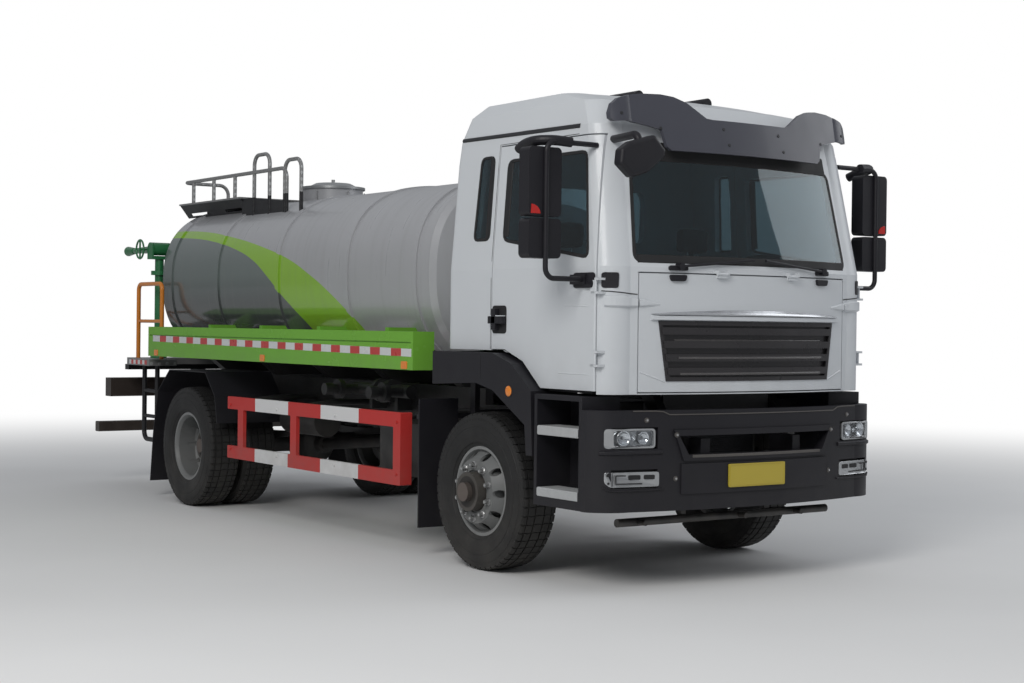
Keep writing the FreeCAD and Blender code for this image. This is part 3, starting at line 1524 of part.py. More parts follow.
def flap_hinge_fixed(x):
    """Two ears of the front flap's hinge on the cab above the panel, and the pin between them."""
    axis = flap_hinge_axis(x)
    parts = []
    for start in (x - hinge_half - hinge_play - hinge_ear, x + hinge_half + hinge_play):
        parts.append(Part.makeCylinder(hinge_radius, hinge_ear, Vector(start, axis.y, axis.z), axis_x))
        parts.append(block(start, start + hinge_ear, axis.y - hinge_radius, cab_front_y + flap_lug_depth,
                           flap_top_z, axis.z + flap_ear_height))
    pin_half = hinge_half + hinge_play + hinge_ear
    parts.append(Part.makeCylinder(hinge_pin_radius, pin_half * 2, axis - axis_x * pin_half, axis_x))
    return fuse(parts)


# Doors, mirrors, front flap and grille

def door():
    """Left door: the wall inside its outline, with the window cut and a handle outside."""
    wall = cab_band(0.0, cab_wall).common(door_prism(moving_gap))
    wall = wall.cut(door_window_prism(0.0))
    middle_z = (handle_low_z + handle_top_z) / 2
    grip = block(cab_side_x - handle_plate, cab_side_x + handle_proud, handle_front_y,
                 handle_rear_y, middle_z - handle_plate * 2, middle_z + handle_plate * 2)
    return fuse([wall, grip] + [door_hinge_moving(z) for z in door_hinge_zs])


def door_glass():
    return cab_band(glass_fit, glass_thickness + glass_fit).common(door_window_prism(glass_fit))


def side_mirror():
    """Two stacked heads on an upper and a lower arm that are fixed to the left door."""
    def head(low, high):
        shape = block(mirror_x - mirror_half_width, mirror_x + mirror_half_width, mirror_y - mirror_half_depth,
                      mirror_y + mirror_half_depth, low, high)
        return round_edges(shape, axis_y, mirror_round)

    gap = mirror_split_gap / 2
    lower = head(mirror_low_z, mirror_split_z - gap)
    upper = head(mirror_split_z + gap, mirror_top_z)
    low_foot = Vector(cab_side_x - cab_wall / 2, mirror_arm_y, mirror_low_arm_z)
    low_knee = Vector(mirror_x, mirror_arm_y, mirror_low_arm_z)
    high_foot = Vector(cab_glass_side_x - cab_wall / 2, mirror_arm_y, mirror_high_arm_z)
    high_knee = Vector(mirror_x, mirror_arm_y, mirror_high_arm_z)
    arm = bent_tube([low_foot, low_knee, high_knee, high_foot], mirror_arm_radius, mirror_arm_radius * 4)
    clamps = []
    for low, high in ((mirror_low_z, mirror_split_z - gap), (mirror_split_z + gap, mirror_top_z)):
        middle = (low + high) / 2
        clamps.append(block(mirror_x - mirror_arm_radius, mirror_x + mirror_arm_radius, mirror_arm_y, mirror_y,
                            middle - mirror_arm_radius, middle + mirror_arm_radius))
    base = block(cab_side_x - cab_wall, cab_side_x + mirror_base_depth, mirror_arm_y - mirror_base_half / 2,
                 mirror_arm_y + mirror_base_half * 2, mirror_low_arm_z - mirror_base_half / 2,
                 mirror_low_arm_z + mirror_base_half / 2)
    return fuse([lower, upper, arm, base] + clamps).cut(cab_solid(0.0))


def doors():
    for name, side in sides:
        save("door_" + name, on_side(door(), side))
        save("door_glass_" + name, on_side(door_glass(), side))
        save("mirror_" + name, on_side(side_mirror(), side))


def front_flap():
    """Service panel under the windshield, hinged along its top edge, with the grille opening."""
    panel = cab_band(0.0, flap_thickness).common(flap_prism(moving_gap, flap_reach))
    barrels = [flap_hinge_moving(x) for x in flap_hinge_xs]
    save("front_flap", fuse([panel.cut(grille_prism(0.0))] + barrels))


def grille():
    """Frame and bowed bars that follow the front panel."""
    frame_ring = cab_band(-grille_proud / 2, flap_thickness - fit_gap).common(
        grille_prism(fit_gap).cut(grille_prism(grille_frame)))
    pitch = (grille_top_z - grille_low_z) / (grille_bars + 0.5)
    bars = []
    for index in range(grille_bars):
        middle = grille_low_z + pitch * (index + grille_first_share)
        bars.append(block(-grille_half_top, grille_half_top, cab_front_y - overrun, cab_front_y + cab_front_fall * 2,
                          middle - grille_bar_height / 2, middle + grille_bar_height / 2))
    rows = cab_band(-grille_proud, grille_depth).common(group(bars)).common(grille_prism(grille_frame / 2))
    back = cab_band(grille_depth, flap_thickness - fit_gap).common(grille_prism(fit_gap))
    save("grille", fuse([frame_ring, back] + rows.Solids))


# Cab interior

def dashboard():
    shape = cab_solid(cab_wall + moving_gap).common(
        block(-dash_half, dash_half, cab_front_y, dash_rear_y, dash_low_z, dash_top_z))
    foot = cab_solid(cab_wall + moving_gap).common(
        block(-dash_half / 4, dash_half / 4, cab_front_y, dash_rear_y - dash_foot_inset,
              cab_bottom_z + floor_thickness, dash_low_z))
    save("dashboard", fuse([shape, foot, steering_wheel()]))


def seats():
    parts = []
    for sign in (-1, 1):
        x = sign * seat_x
        pan = block(x - seat_half_width, x + seat_half_width, seat_front_y, seat_rear_y, seat_pan_z,
                    seat_pan_z + seat_pan_height)
        back = block(x - seat_half_width, x + seat_half_width, seat_rear_y - seat_back_depth, seat_rear_y,
                     seat_pan_z, seat_back_top_z)
        soft = round_edges(fuse([pan, back]), axis_x, seat_round)
        base = block(x - seat_base_half, x + seat_base_half, seat_front_y + seat_round, seat_rear_y - seat_round,
                     cab_bottom_z + floor_thickness, seat_pan_z)
        parts.append(fuse([soft, base]))
    save("seats", group(parts))


def steering_wheel():
    """Ring, spokes and column at the left seat, leaning towards the driver."""
    ring = Part.makeTorus(wheel_ring_radius, wheel_ring_tube)
    hub = Part.makeCylinder(wheel_hub_radius, wheel_hub_depth, Vector(0, 0, -wheel_hub_depth))
    spokes = []
    for index in range(3):
        spoke = block(0, wheel_ring_radius, -wheel_ring_tube, wheel_ring_tube, -wheel_hub_depth / 2, 0)
        spoke.rotate(Vector(0, 0, 0), axis_z, 90 + index * 120)
        spokes.append(spoke)
    column = Part.makeCylinder(column_radius, wheel_ring_radius * 2, Vector(0, 0, -wheel_ring_radius * 2))
    wheel = fuse([ring, hub, column] + spokes)
    wheel.rotate(Vector(0, 0, 0), axis_x, -math.degrees(math.atan(wheel_tilt_share)))
    wheel.translate(Vector(seat_x, wheel_ring_y, wheel_ring_z))
    return wheel


# Tank, subframe and saddles

def tank_section(y, inset):
    """Section of the tank: an oval squared by one exponent, drawn through evenly turned points."""
    width = tank_half_width - inset
    height = tank_half_height - inset
    points = []
    for index in range(tank_points):
        turn = 2 * math.pi * index / tank_points
        x = math.copysign(abs(math.cos(turn)) ** (2 / tank_exponent_share), math.cos(turn))
        z = math.copysign(abs(math.sin(turn)) ** (2 / tank_exponent_share), math.sin(turn))
        points.append(Vector(width * x, y, tank_centre_z + height * z))
    curve = Part.BSplineCurve()
    curve.interpolate(points, PeriodicFlag=True)
    return Part.Wire([curve.toShape()])


def tank_body(inset):
    return Part.Face(tank_section(tank_front_y, inset)).extrude(Vector(0, tank_rear_y - tank_front_y, 0))


def tank_head(y, direction):
    """Dished end of the tank, stepped in towards its middle."""
    rim_wire = tank_section(y, 0.0)
    knuckle_wire = tank_section(y + direction * tank_head_depth * tank_knuckle_share, tank_head_inset * tank_knuckle_share)
    cap_wire = tank_section(y + direction * tank_head_depth, tank_cap_inset)
    return Part.makeLoft([rim_wire, knuckle_wire, cap_wire], True, True)


def tank_band(y):
    outer = Part.Face(tank_section(y, -tank_band_proud)).extrude(Vector(0, tank_band_width, 0))
    inner = Part.Face(tank_section(y, tank_band_proud)).extrude(Vector(0, tank_band_width, 0))
    return outer.cut(inner)


def tank():
    length = tank_rear_y - tank_front_y
    bands = [tank_band(tank_front_y + share * (length - tank_band_width)) for share in tank_band_shares]
    shell = fuse([tank_body(0.0), tank_head(tank_front_y, -1), tank_head(tank_rear_y, 1)] + bands)
    well = Part.makeCylinder(manhole_radius - manhole_wall, manhole_top_z,
                             Vector(0, manhole_y, tank_centre_z + manhole_well_z))
    save("tank", fuse([shell.cut(well), manhole().cut(shell)]))


def subframe():
    """Long bearers on the rails and the saddles that carry the tank."""
    bearer = block(rail_outer_x - subframe_width, rail_outer_x, tank_front_y, deck_rear_y - beam_arm_width,
                   rail_top_z, subframe_top_z)
    length = tank_rear_y - tank_front_y
    relief = tank_body(-fit_gap).fuse([tank_band_space(share) for share in tank_band_shares])
    saddles = []
    for share in saddle_shares:
        y = tank_front_y + share * length - saddle_width / 2
        saddle = plate_y([
            (-rail_outer_x, subframe_top_z), (rail_outer_x, subframe_top_z),
            (saddle_half, tank_centre_z - tank_half_height + saddle_rise / 3),
            (saddle_half, tank_centre_z - tank_half_height + saddle_rise),
            (-saddle_half, tank_centre_z - tank_half_height + saddle_rise),
            (-saddle_half, tank_centre_z - tank_half_height + saddle_rise / 3),
        ], y, y + saddle_width)
        saddles.append(saddle.cut(relief))
    save("subframe", fuse([bearer, mirrored(bearer)] + saddles))


def tank_band_space(share):
    length = tank_rear_y - tank_front_y
    y = tank_front_y + share * (length - tank_band_width)
    return Part.Face(tank_section(y - fit_gap, -tank_band_proud - fit_gap)).extrude(
        Vector(0, tank_band_width + fit_gap * 2, 0))


# Tank top

def tank_relief():
    bands = [tank_band_space(share) for share in tank_band_shares]
    tail = Part.Face(tank_section(tank_rear_y, -fit_gap)).extrude(Vector(0, tank_head_depth * 2, 0))
    return fuse([tank_body(-fit_gap), tail]).fuse(bands)


def manhole():
    """Neck on the tank with the two ears of the lid's hinge."""
    low = tank_centre_z
    neck = Part.makeCylinder(manhole_radius, manhole_top_z - low, Vector(0, manhole_y, low))
    bore = Part.makeCylinder(manhole_radius - manhole_wall, manhole_top_z - low, Vector(0, manhole_y, low))
    ears = []
    for x in (-lid_hinge_half - lid_ear, lid_hinge_half):
        ears.append(block(x, x + lid_ear, manhole_y + manhole_radius - manhole_wall,
                          manhole_y + lid_hinge_y + lid_hinge_radius, low,
                          manhole_top_z + lid_thickness / 2 + lid_hinge_radius))
    hinge_z = manhole_top_z + lid_thickness / 2
    pin = Part.makeCylinder(lid_hinge_radius / 2, (lid_hinge_half + lid_ear) * 2,
                            Vector(-lid_hinge_half - lid_ear, manhole_y + lid_hinge_y, hinge_z), axis_x)
    body = fuse([neck] + ears).cut(bore)
    return fuse([body, pin])


def manhole_lid():
    """Domed lid with its hinge lug and a round handle boss."""
    low = manhole_top_z + fit_gap
    disc = Part.makeCylinder(lid_radius, lid_thickness, Vector(0, manhole_y, low))
    dome = Part.makeCone(lid_radius * lid_dome_low_share, lid_radius * lid_dome_top_share, lid_dome,
                         Vector(0, manhole_y, low + lid_thickness))
    hinge_z = manhole_top_z + lid_thickness / 2
    half = lid_hinge_half - moving_gap
    lug = block(-half, half, manhole_y, manhole_y + lid_hinge_y, hinge_z - lid_thickness / 2 + fit_gap,
                hinge_z + lid_thickness / 2)
    eye = Part.makeCylinder(lid_hinge_radius, half * 2, Vector(-half, manhole_y + lid_hinge_y, hinge_z), axis_x)
    bore = Part.makeCylinder(lid_hinge_radius / 2 + fit_gap, half * 4,
                             Vector(-half * 2, manhole_y + lid_hinge_y, hinge_z), axis_x)
    ears = []
    for x in (-lid_hinge_half - lid_ear, lid_hinge_half):
        ears.append(block(x - moving_gap, x + lid_ear + moving_gap, manhole_y + manhole_radius - manhole_wall
                          - moving_gap, manhole_y + lid_radius * 2, low, low + lid_thickness))
    handle = Part.makeCylinder(lid_hinge_radius, lid_dome * 2, Vector(0, manhole_y, low + lid_thickness))
    save("manhole_lid", fuse([disc.cut(group(ears)), dome, lug, eye, handle]).cut(bore))


def top_hoops():
    """Two upright bent tubes on the tank's right shoulder, beside the manhole."""
    hoops = []
    for index, top in enumerate((hoop_low_top_z, hoop_high_top_z)):
        front = manhole_y + hoop_reach - hoop_length / 2 + index * hoop_pitch
        rear = front + hoop_length
        path = [Vector(hoop_x, front, hoop_foot_z), Vector(hoop_x, front, top), Vector(hoop_x, rear, top),
                Vector(hoop_x, rear, hoop_foot_z)]
        hoops.append(bent_tube(path, hoop_radius, hoop_bend))
    return hoops


def walkway_apron():
    """Left slanted side plate under the walkway's edge, with two long slots."""
    apron = plate_y([
        (walk_half, walk_top_z), (apron_foot_x, apron_foot_z), (apron_foot_x - apron_plate, apron_foot_z),
        (walk_half - apron_plate * 2, walk_top_z - walk_plate),
    ], walk_front_y, walk_rear_y)
    slots = []
    for index in range(2):
        y = walk_rear_y - slot_inset - slot_length - index * slot_pitch
        slots.append(block(apron_foot_x - walk_leg_width, walk_half, y, y + slot_length, slot_low_z,
                           slot_low_z + slot_height))
    return apron.cut(group(slots))


def walkway_rail():
    """Rail along the walkway's right edge and round to the gate at its rear, with its posts."""
    top = walk_top_z + rail_height
    edge = -walk_half + rail_tube_radius * 2
    front = manhole_y + rail_front_reach + rail_end_bend * 2
    rear = walk_rear_y - rail_tube_radius * 2
    path = [Vector(edge, front, rail_bracket_foot_z), Vector(edge, front, top), Vector(edge, rear, top),
            Vector(-rail_gate_half, rear, top), Vector(-rail_gate_half, rear, walk_top_z - walk_plate)]
    parts = [bent_tube(path, rail_tube_radius, rail_end_bend / 2)]
    for index in range(rail_post_count):
        y = rear - rail_post_pitch * (index + 0.5)
        parts.append(rod(Vector(edge, y, walk_top_z - walk_plate), Vector(edge, y, top), rail_tube_radius))
    bracket = plate_x([
        (walk_front_y + apron_plate, walk_top_z), (walk_front_y + apron_plate, rail_bracket_foot_z),
        (front, rail_bracket_foot_z), (front, rail_bracket_front_z),
    ], hoop_x - rail_bracket_plate / 2, hoop_x + rail_bracket_plate / 2)
    return parts + [bracket]


def top_walkway():
    """Walkway plate over the tank's rear with its legs, side plates, rail and hoops."""
    plate = block(-walk_half, walk_half, walk_front_y, walk_rear_y, walk_top_z - walk_plate, walk_top_z)
    legs = []
    for x in (-walk_half + walk_leg_width * 3, walk_half - walk_leg_width * 4):
        for y in (walk_front_y + walk_leg_width, tank_rear_y - walk_leg_width * 4):
            legs.append(block(x, x + walk_leg_width, y, y + walk_leg_width, tank_centre_z + tank_half_height / 2,
                              walk_top_z - walk_plate))
    body = fuse([plate, both(walkway_apron())] + legs + walkway_rail() + top_hoops())
    save("top_walkway", body.cut(tank_relief()))


# Rear deck, posts, ladder and water cannon

def rear_deck():
    """Working deck behind the tank with four posts and their rails."""
    plate = plate_z([
        (-deck_half, deck_front_y), (deck_half, deck_front_y), (deck_half, deck_corner_y),
        (deck_corner_half, deck_rear_y), (-deck_corner_half, deck_rear_y), (-deck_half, deck_corner_y),
    ], deck_top_z - deck_plate, deck_top_z)
    front = block(-tank_half_width, tank_half_width, deck_front_y - overrun, tank_rear_y + tank_head_depth * 2,
                  subframe_top_z, deck_top_z + overrun)
    plate = plate.cut(front)
    legs = []
    for y in (tank_rear_y + tank_head_depth * 2 + deck_leg_width, deck_rear_y - beam_arm_width - deck_leg_width * 2):
        legs.append(block(-deck_half + deck_plate, deck_half - deck_plate, y, y + deck_leg_width,
                          subframe_top_z, deck_top_z - deck_plate))
    save("rear_deck", fuse([plate] + legs + [ladder()]))


def deck_posts():
    """One railing along each side edge of the deck: a bent top tube and a middle rail."""
    front, rear = post_ys
    middle = deck_top_z + (post_top_z - deck_top_z) * post_mid_share
    path = [Vector(post_x, front, deck_top_z), Vector(post_x, front, post_top_z),
            Vector(post_x, rear, post_top_z), Vector(post_x, rear, deck_top_z)]
    hoop = bent_tube(path, post_radius, post_radius * 3)
    bar = rod(Vector(post_x, front, middle), Vector(post_x, rear, middle), post_radius * rail_bar_share)
    save("deck_rails", both(fuse([hoop, bar])))


def cannon():
    """Standpipe on the deck, slewing head and tilting barrel of the water cannon."""
    foot = Vector(cannon_x, cannon_y, deck_top_z)
    swivel = Vector(cannon_x, cannon_y, cannon_swivel_z)
    pipe = rod(foot, swivel, cannon_pipe_radius)
    base = Part.makeCylinder(cannon_flange_radius, cannon_flange, foot)
    crown = Part.makeCylinder(cannon_flange_radius, cannon_flange, swivel - axis_z * cannon_flange)
    save("cannon_standpipe", fuse([pipe, base, crown]))

    low = cannon_swivel_z + fit_gap
    disc = Part.makeCylinder(cannon_flange_radius, cannon_flange, Vector(cannon_x, cannon_y, low))
    head_z = cannon_elbow_z
    neck = Part.makeCylinder(cannon_pipe_radius, head_z - low - cannon_joint_radius - cannon_fork_gap,
                             Vector(cannon_x, cannon_y, low))
    reach = cannon_joint_half + cannon_fork_gap
    foot_z = head_z - cannon_joint_radius * cannon_bridge_share - cannon_fork_gap
    bridge = block(cannon_x - reach - cannon_fork_plate, cannon_x + reach + cannon_fork_plate,
                   cannon_y - cannon_joint_radius, cannon_y + cannon_joint_radius,
                   foot_z, head_z - cannon_joint_radius - cannon_fork_gap)
    cheeks = []
    for x in (cannon_x - reach - cannon_fork_plate, cannon_x + reach):
        cheeks.append(Part.makeCylinder(cannon_joint_radius, cannon_fork_plate, Vector(x, cannon_y, head_z), axis_x))
        cheeks.append(block(x, x + cannon_fork_plate, cannon_y - cannon_joint_radius, cannon_y + cannon_joint_radius,
                            foot_z, head_z))
    pin = Part.makeCylinder(cannon_pipe_radius / 2, (reach + cannon_fork_plate) * 2,
                            Vector(cannon_x - reach - cannon_fork_plate, cannon_y, head_z), axis_x)
    save("cannon_head", fuse([disc, neck, bridge] + cheeks + [pin]))

    drum = Part.makeCylinder(cannon_joint_radius, cannon_joint_half * 2,
                             Vector(cannon_x - cannon_joint_half, cannon_y, head_z), axis_x)
    start = Vector(cannon_x, cannon_y, head_z)
    tip_radius = cannon_pipe_radius * cannon_barrel_tip_share
    barrel = Part.makeCone(cannon_pipe_radius, tip_radius, cannon_barrel_length, start, axis_y)
    nozzle_foot = start + axis_y * cannon_barrel_length
    nozzle = Part.makeCone(tip_radius * nozzle_throat_share, cannon_nozzle_radius, cannon_nozzle_length, nozzle_foot, axis_y)
    mouth = Part.makeCylinder(tip_radius, cannon_nozzle_length, nozzle_foot + axis_y * tip_radius, axis_y)
    stem_at = start + axis_y * cannon_wheel_y
    ring_at = stem_at - axis_x * cannon_wheel_reach
    handle = Part.makeTorus(cannon_wheel_radius, cannon_wheel_tube, ring_at, axis_x)
    stem = rod(stem_at, ring_at, cannon_wheel_tube)
    spoke = rod(ring_at - axis_z * cannon_wheel_radius, ring_at + axis_z * cannon_wheel_radius, cannon_wheel_tube)
    body = fuse([drum, barrel, nozzle, handle, stem, spoke]).cut(mouth)
    bore = Part.makeCylinder(cannon_pipe_radius / 2 + fit_gap, cannon_joint_half * 4,
                             Vector(cannon_x - cannon_joint_half * 2, cannon_y, head_z), axis_x)
    save("cannon_barrel", body.cut(bore))


def ladder():
    """Hanging access ladder at the right rear: a bent stile with two rungs."""
    path = [Vector(-ladder_x, ladder_front_y, ladder_top_z - deck_plate / 2),
            Vector(-ladder_x, ladder_front_y, ladder_bottom_z),
            Vector(-ladder_x, ladder_rear_y, ladder_bottom_z),
            Vector(-ladder_x, ladder_rear_y, ladder_top_z - deck_plate / 2)]
    tube = bent_tube(path, ladder_radius, ladder_bend)
    rungs = [rod(Vector(-ladder_x, ladder_front_y, z), Vector(-ladder_x, ladder_rear_y, z), ladder_radius * rail_bar_share)
             for z in ladder_rung_zs]
    body = fuse([tube] + rungs)
    keep = block(-deck_half, -post_x + overrun, ladder_front_y - overrun, ladder_rear_y + overrun,
                 0, deck_top_z - deck_plate)
    return body.common(keep)


def rear_beams():
    """Upper lamp beam on the rail ends and lower underrun beam on two hanging arms."""
    upper = block(-upper_beam_half, upper_beam_half, rail_rear_y, upper_beam_rear_y,
                  upper_beam_low_z, upper_beam_top_z)
    pockets = block(tail_lamp_inner_x, tail_lamp_outer_x, upper_beam_rear_y - tail_lamp_depth, upper_beam_rear_y
                    + overrun, tail_lamp_low_z, tail_lamp_top_z)
    lower = block(-upper_beam_half, upper_beam_half, lower_beam_front_y, lower_beam_rear_y,
                  lower_beam_low_z, lower_beam_top_z)
    lower = round_edges(lower, axis_x, overrun / 4)
    arm = plate_x([
        (rail_rear_y, upper_beam_low_z), (upper_beam_rear_y, upper_beam_low_z),
        (lower_beam_front_y, lower_beam_top_z), (lower_beam_front_y, lower_beam_low_z),
        (lower_beam_front_y - beam_arm_width, lower_beam_low_z),
    ], beam_arm_x - beam_arm_width / 2, beam_arm_x + beam_arm_width / 2)
    save("rear_beams", fuse([upper, lower, arm, mirrored(arm)]).cut(both(pockets)))
    lamp = block(tail_lamp_inner_x + fit_gap, tail_lamp_outer_x - fit_gap, upper_beam_rear_y - tail_lamp_depth
                 + fit_gap, upper_beam_rear_y + tail_lamp_proud, tail_lamp_low_z + fit_gap, tail_lamp_top_z - fit_gap)
    save("tail_lamps", both(lamp))


# Pump, couplings, skirts, guards and mudguards

def pump():
    """Volute of the water pump on the frame with its suction and delivery pipes."""
    volute = Part.makeCylinder(pump_radius, pump_half, Vector(pump_x, pump_y, pump_z), axis_y)
    casing = Part.makeCylinder(pump_radius * pump_casing_share, pump_casing_length, Vector(pump_x, pump_y - pump_half / 2, pump_z),
                               axis_y)
    foot_front, foot_rear = pump_foot_shares
    feet = block(-rail_outer_x + rail_web, rail_outer_x - rail_web, pump_y + pump_half * foot_front,
                 pump_y + pump_half * foot_rear, rail_bottom_z + rail_web, rail_bottom_z + pump_foot_height)
    riser = rod(Vector(pump_x, pump_y + pump_half / 2, pump_z), Vector(pump_x, pump_y + pump_half / 2,
                                                                      tank_centre_z - tank_half_height * pump_riser_share),
                main_pipe_radius)
    shaft_space = rod(Vector(0, engine_rear_y, (engine_bottom_z + gearbox_top_z) / 2),
                      Vector(0, wheelbase, tyre_radius), shaft_radius + moving_gap * 2)
    body = fuse([volute, casing, feet]).cut(shaft_space)
    body = fuse([body, riser]).cut(group([tank_body(-fit_gap)]))
    save("water_pipes", group([body, couplings()]))


def couplings():
    """Two valve outlets on the right side above the guard, fed by one flanged pipe beside the rail."""
    front, rear = coupling_ys
    reach = main_pipe_radius + coupling_flange
    parts = [rod(Vector(-side_pipe_x, front - reach, coupling_z), Vector(-side_pipe_x, rear + reach, coupling_z),
                 main_pipe_radius)]
    for share in side_pipe_flange_shares:
        foot = Vector(-side_pipe_x, front + share * (rear - front), coupling_z)
        parts.append(Part.makeCylinder(side_pipe_flange_radius, coupling_flange * 2, foot, axis_y))
    for y in coupling_ys:
        outer = Vector(-coupling_outer_x, y, coupling_z)
        parts.append(rod(outer, Vector(-side_pipe_x, y, coupling_z), coupling_radius))
        parts.append(Part.makeCylinder(coupling_collar_radius, coupling_collar, outer, axis_x))
        flange = outer + axis_x * (coupling_collar + coupling_flange * 2)
        parts.append(Part.makeCylinder(coupling_flange_radius, coupling_flange * 2, flange, axis_x))
        inward = y + math.copysign(coupling_flange_radius * 2, (front + rear) / 2 - y)
        parts.append(block(-side_pipe_x, -rail_outer_x, inward - coupling_flange, inward + coupling_flange,
                           rail_top_z - cross_width, coupling_z))
    return fuse(parts)


def skirts():
    """Shallow side boxes under the tank: an outer face, a top ledge and end returns."""
    inner = skirt_outer_x - skirt_lip
    face = block(skirt_outer_x - skirt_plate, skirt_outer_x, skirt_front_y, skirt_rear_y, skirt_bottom_z, skirt_top_z)
    groove = block(skirt_outer_x - skirt_groove, skirt_outer_x + overrun, skirt_front_y - overrun,
                   skirt_rear_y + overrun, skirt_groove_z, skirt_groove_z + skirt_groove)
    ledge = block(inner, skirt_outer_x, skirt_front_y, skirt_rear_y, skirt_top_z - skirt_lip_plate, skirt_top_z)
    ends = [block(inner, skirt_outer_x, y, y + skirt_plate, skirt_bottom_z, skirt_top_z)
            for y in (skirt_front_y, skirt_rear_y - skirt_plate)]
    length = tank_rear_y - tank_front_y
    arms = []
    for share in saddle_shares[:-1]:
        y = tank_front_y + share * length - skirt_bracket_width / 2
        arms.append(block(saddle_half, inner + skirt_plate, y, y + skirt_bracket_width,
                          tank_centre_z - tank_half_height + saddle_rise / 2,
                          tank_centre_z - tank_half_height + saddle_rise))
        arms.append(block(inner - skirt_bracket_width, skirt_outer_x - skirt_plate, y, y + skirt_bracket_width,
                          skirt_bottom_z + skirt_plate, skirt_top_z - skirt_lip_plate))
    body = fuse([face.cut(groove), ledge] + ends + arms).cut(tank_relief())
    save("skirts", both(body))


def side_guard():
    """Left guard between the wheels: two rails, three posts and a returned front end."""
    outer = guard_outer_x
    inner = outer - guard_depth
    length = guard_rear_y - guard_front_y
    parts = []
    for low in (guard_low_z, guard_top_z - guard_rail_height):
        parts.append(block(inner, outer, guard_front_y, guard_rear_y, low, low + guard_rail_height))
    for y in (guard_front_y, guard_front_y + length * guard_mid_share,
              guard_front_y + length * guard_back_share - guard_post_width):
        parts.append(block(inner, outer, y, y + guard_post_width, guard_low_z, guard_top_z))
    parts.append(block(outer - guard_return, outer, guard_front_y, guard_front_y + guard_depth,
                       guard_low_z, guard_top_z))
    return round_edges(fuse(parts), axis_x, guard_depth / 3)


def guard_bracket(share):
    """Bent tube from the rail out and down to the guard's upper rail."""
    y = guard_front_y + share * (guard_rear_y - guard_front_y)
    inner = guard_outer_x - guard_depth
    middle_x = (bracket_inner_x + inner) / 2
    path = [Vector(bracket_inner_x, y, rail_top_z - bracket_tube_radius * 2),
            Vector(middle_x, y, rail_top_z - bracket_tube_radius * 2),
            Vector(inner - bracket_tube_radius, y, bracket_low_z)]
    tube = bent_tube(path, bracket_tube_radius, bracket_tube_radius * 4)
    stub = block(inner - bracket_tube_radius * 2, inner, y - bracket_tube_radius, y + bracket_tube_radius,
                 bracket_low_z - bracket_tube_radius, bracket_low_z + bracket_tube_radius)
    return fuse([tube, stub]).cut(block(0, rail_outer_x, 0, rail_rear_y, 0, rail_top_z))


def guards():
    save("side_guards", both(side_guard()))
    save("guard_brackets", both(group([guard_bracket(share) for share in bracket_shares])))


def rear_mudguards():
    """Flat-topped guard over each pair of rear wheels, with its hanging flap."""
    outer = [
        (rear_guard_front_y, rear_guard_front_z), (rear_guard_front_y + overrun, rear_guard_top_z - overrun * 4),
        (rear_guard_top_front_y, rear_guard_top_z), (rear_guard_top_rear_y, rear_guard_top_z),
        (rear_guard_rear_y - overrun * 2, rear_guard_top_z - overrun * 4), (rear_guard_rear_y, rear_guard_rear_z),
        (rear_guard_rear_y + rear_flap_slope, rear_flap_bottom_z),
    ]
    shell = rear_guard_shell
    inner = [
        (rear_guard_rear_y + rear_flap_slope - shell, rear_flap_bottom_z),
        (rear_guard_rear_y - shell, rear_guard_rear_z), (rear_guard_rear_y - overrun * 2 - shell,
                                                         rear_guard_top_z - overrun * 4),
        (rear_guard_top_rear_y - shell / 2, rear_guard_top_z - shell),
        (rear_guard_top_front_y + shell / 2, rear_guard_top_z - shell),
        (rear_guard_front_y + overrun + shell, rear_guard_top_z - overrun * 4),
        (rear_guard_front_y + shell, rear_guard_front_z),
    ]
    shape = plate_x(outer + inner, rear_guard_inner_x, rear_guard_outer_x)
    arm = block(rail_outer_x, rear_guard_inner_x + overrun, rear_guard_rear_y - overrun * 3,
                rear_guard_rear_y - overrun * 3 + rear_guard_arm_width, rail_bottom_z + rail_web * 2,
                rail_top_z - rail_web * 2)
    tie = block(rear_guard_inner_x, rear_guard_inner_x + overrun, rear_guard_rear_y - overrun * 3,
                rear_guard_rear_y - overrun, rail_bottom_z + rail_web * 2, rail_top_z - rail_web * 2)
    save("rear_mudguards", both(fuse([shape, arm, tie])))


os.makedirs("parts", exist_ok=True)
wheels()
axles()
frame()
engine()
fuel_tank()
battery_box()
air_tanks()
front_bumper()
front_lamps()
spray_bar()
steps()
front_fenders()
cab_shell()
cab_floor()
cab_glass()
sun_visor()
cab_fittings()
doors()
front_flap()
grille()
dashboard()
seats()
tank()
subframe()
manhole_lid()
top_walkway()
rear_deck()
deck_posts()
cannon()
rear_beams()
pump()
skirts()
guards()
rear_mudguards()
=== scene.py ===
# %% [markdown]
# # A four by two water tanker
#
# The solids of the lorry come from its construction model and stay where they are. This file
# gives every one of them a finish, and adds the small parts that make it look real: tread,
# nuts, lamp inserts, seams, rubber, tape and padded seats. The frame is loaded first.

# %% Load the frame
import math

import bmesh
import bpy
from mathutils import Matrix, Vector
from mathutils.bvhtree import BVHTree


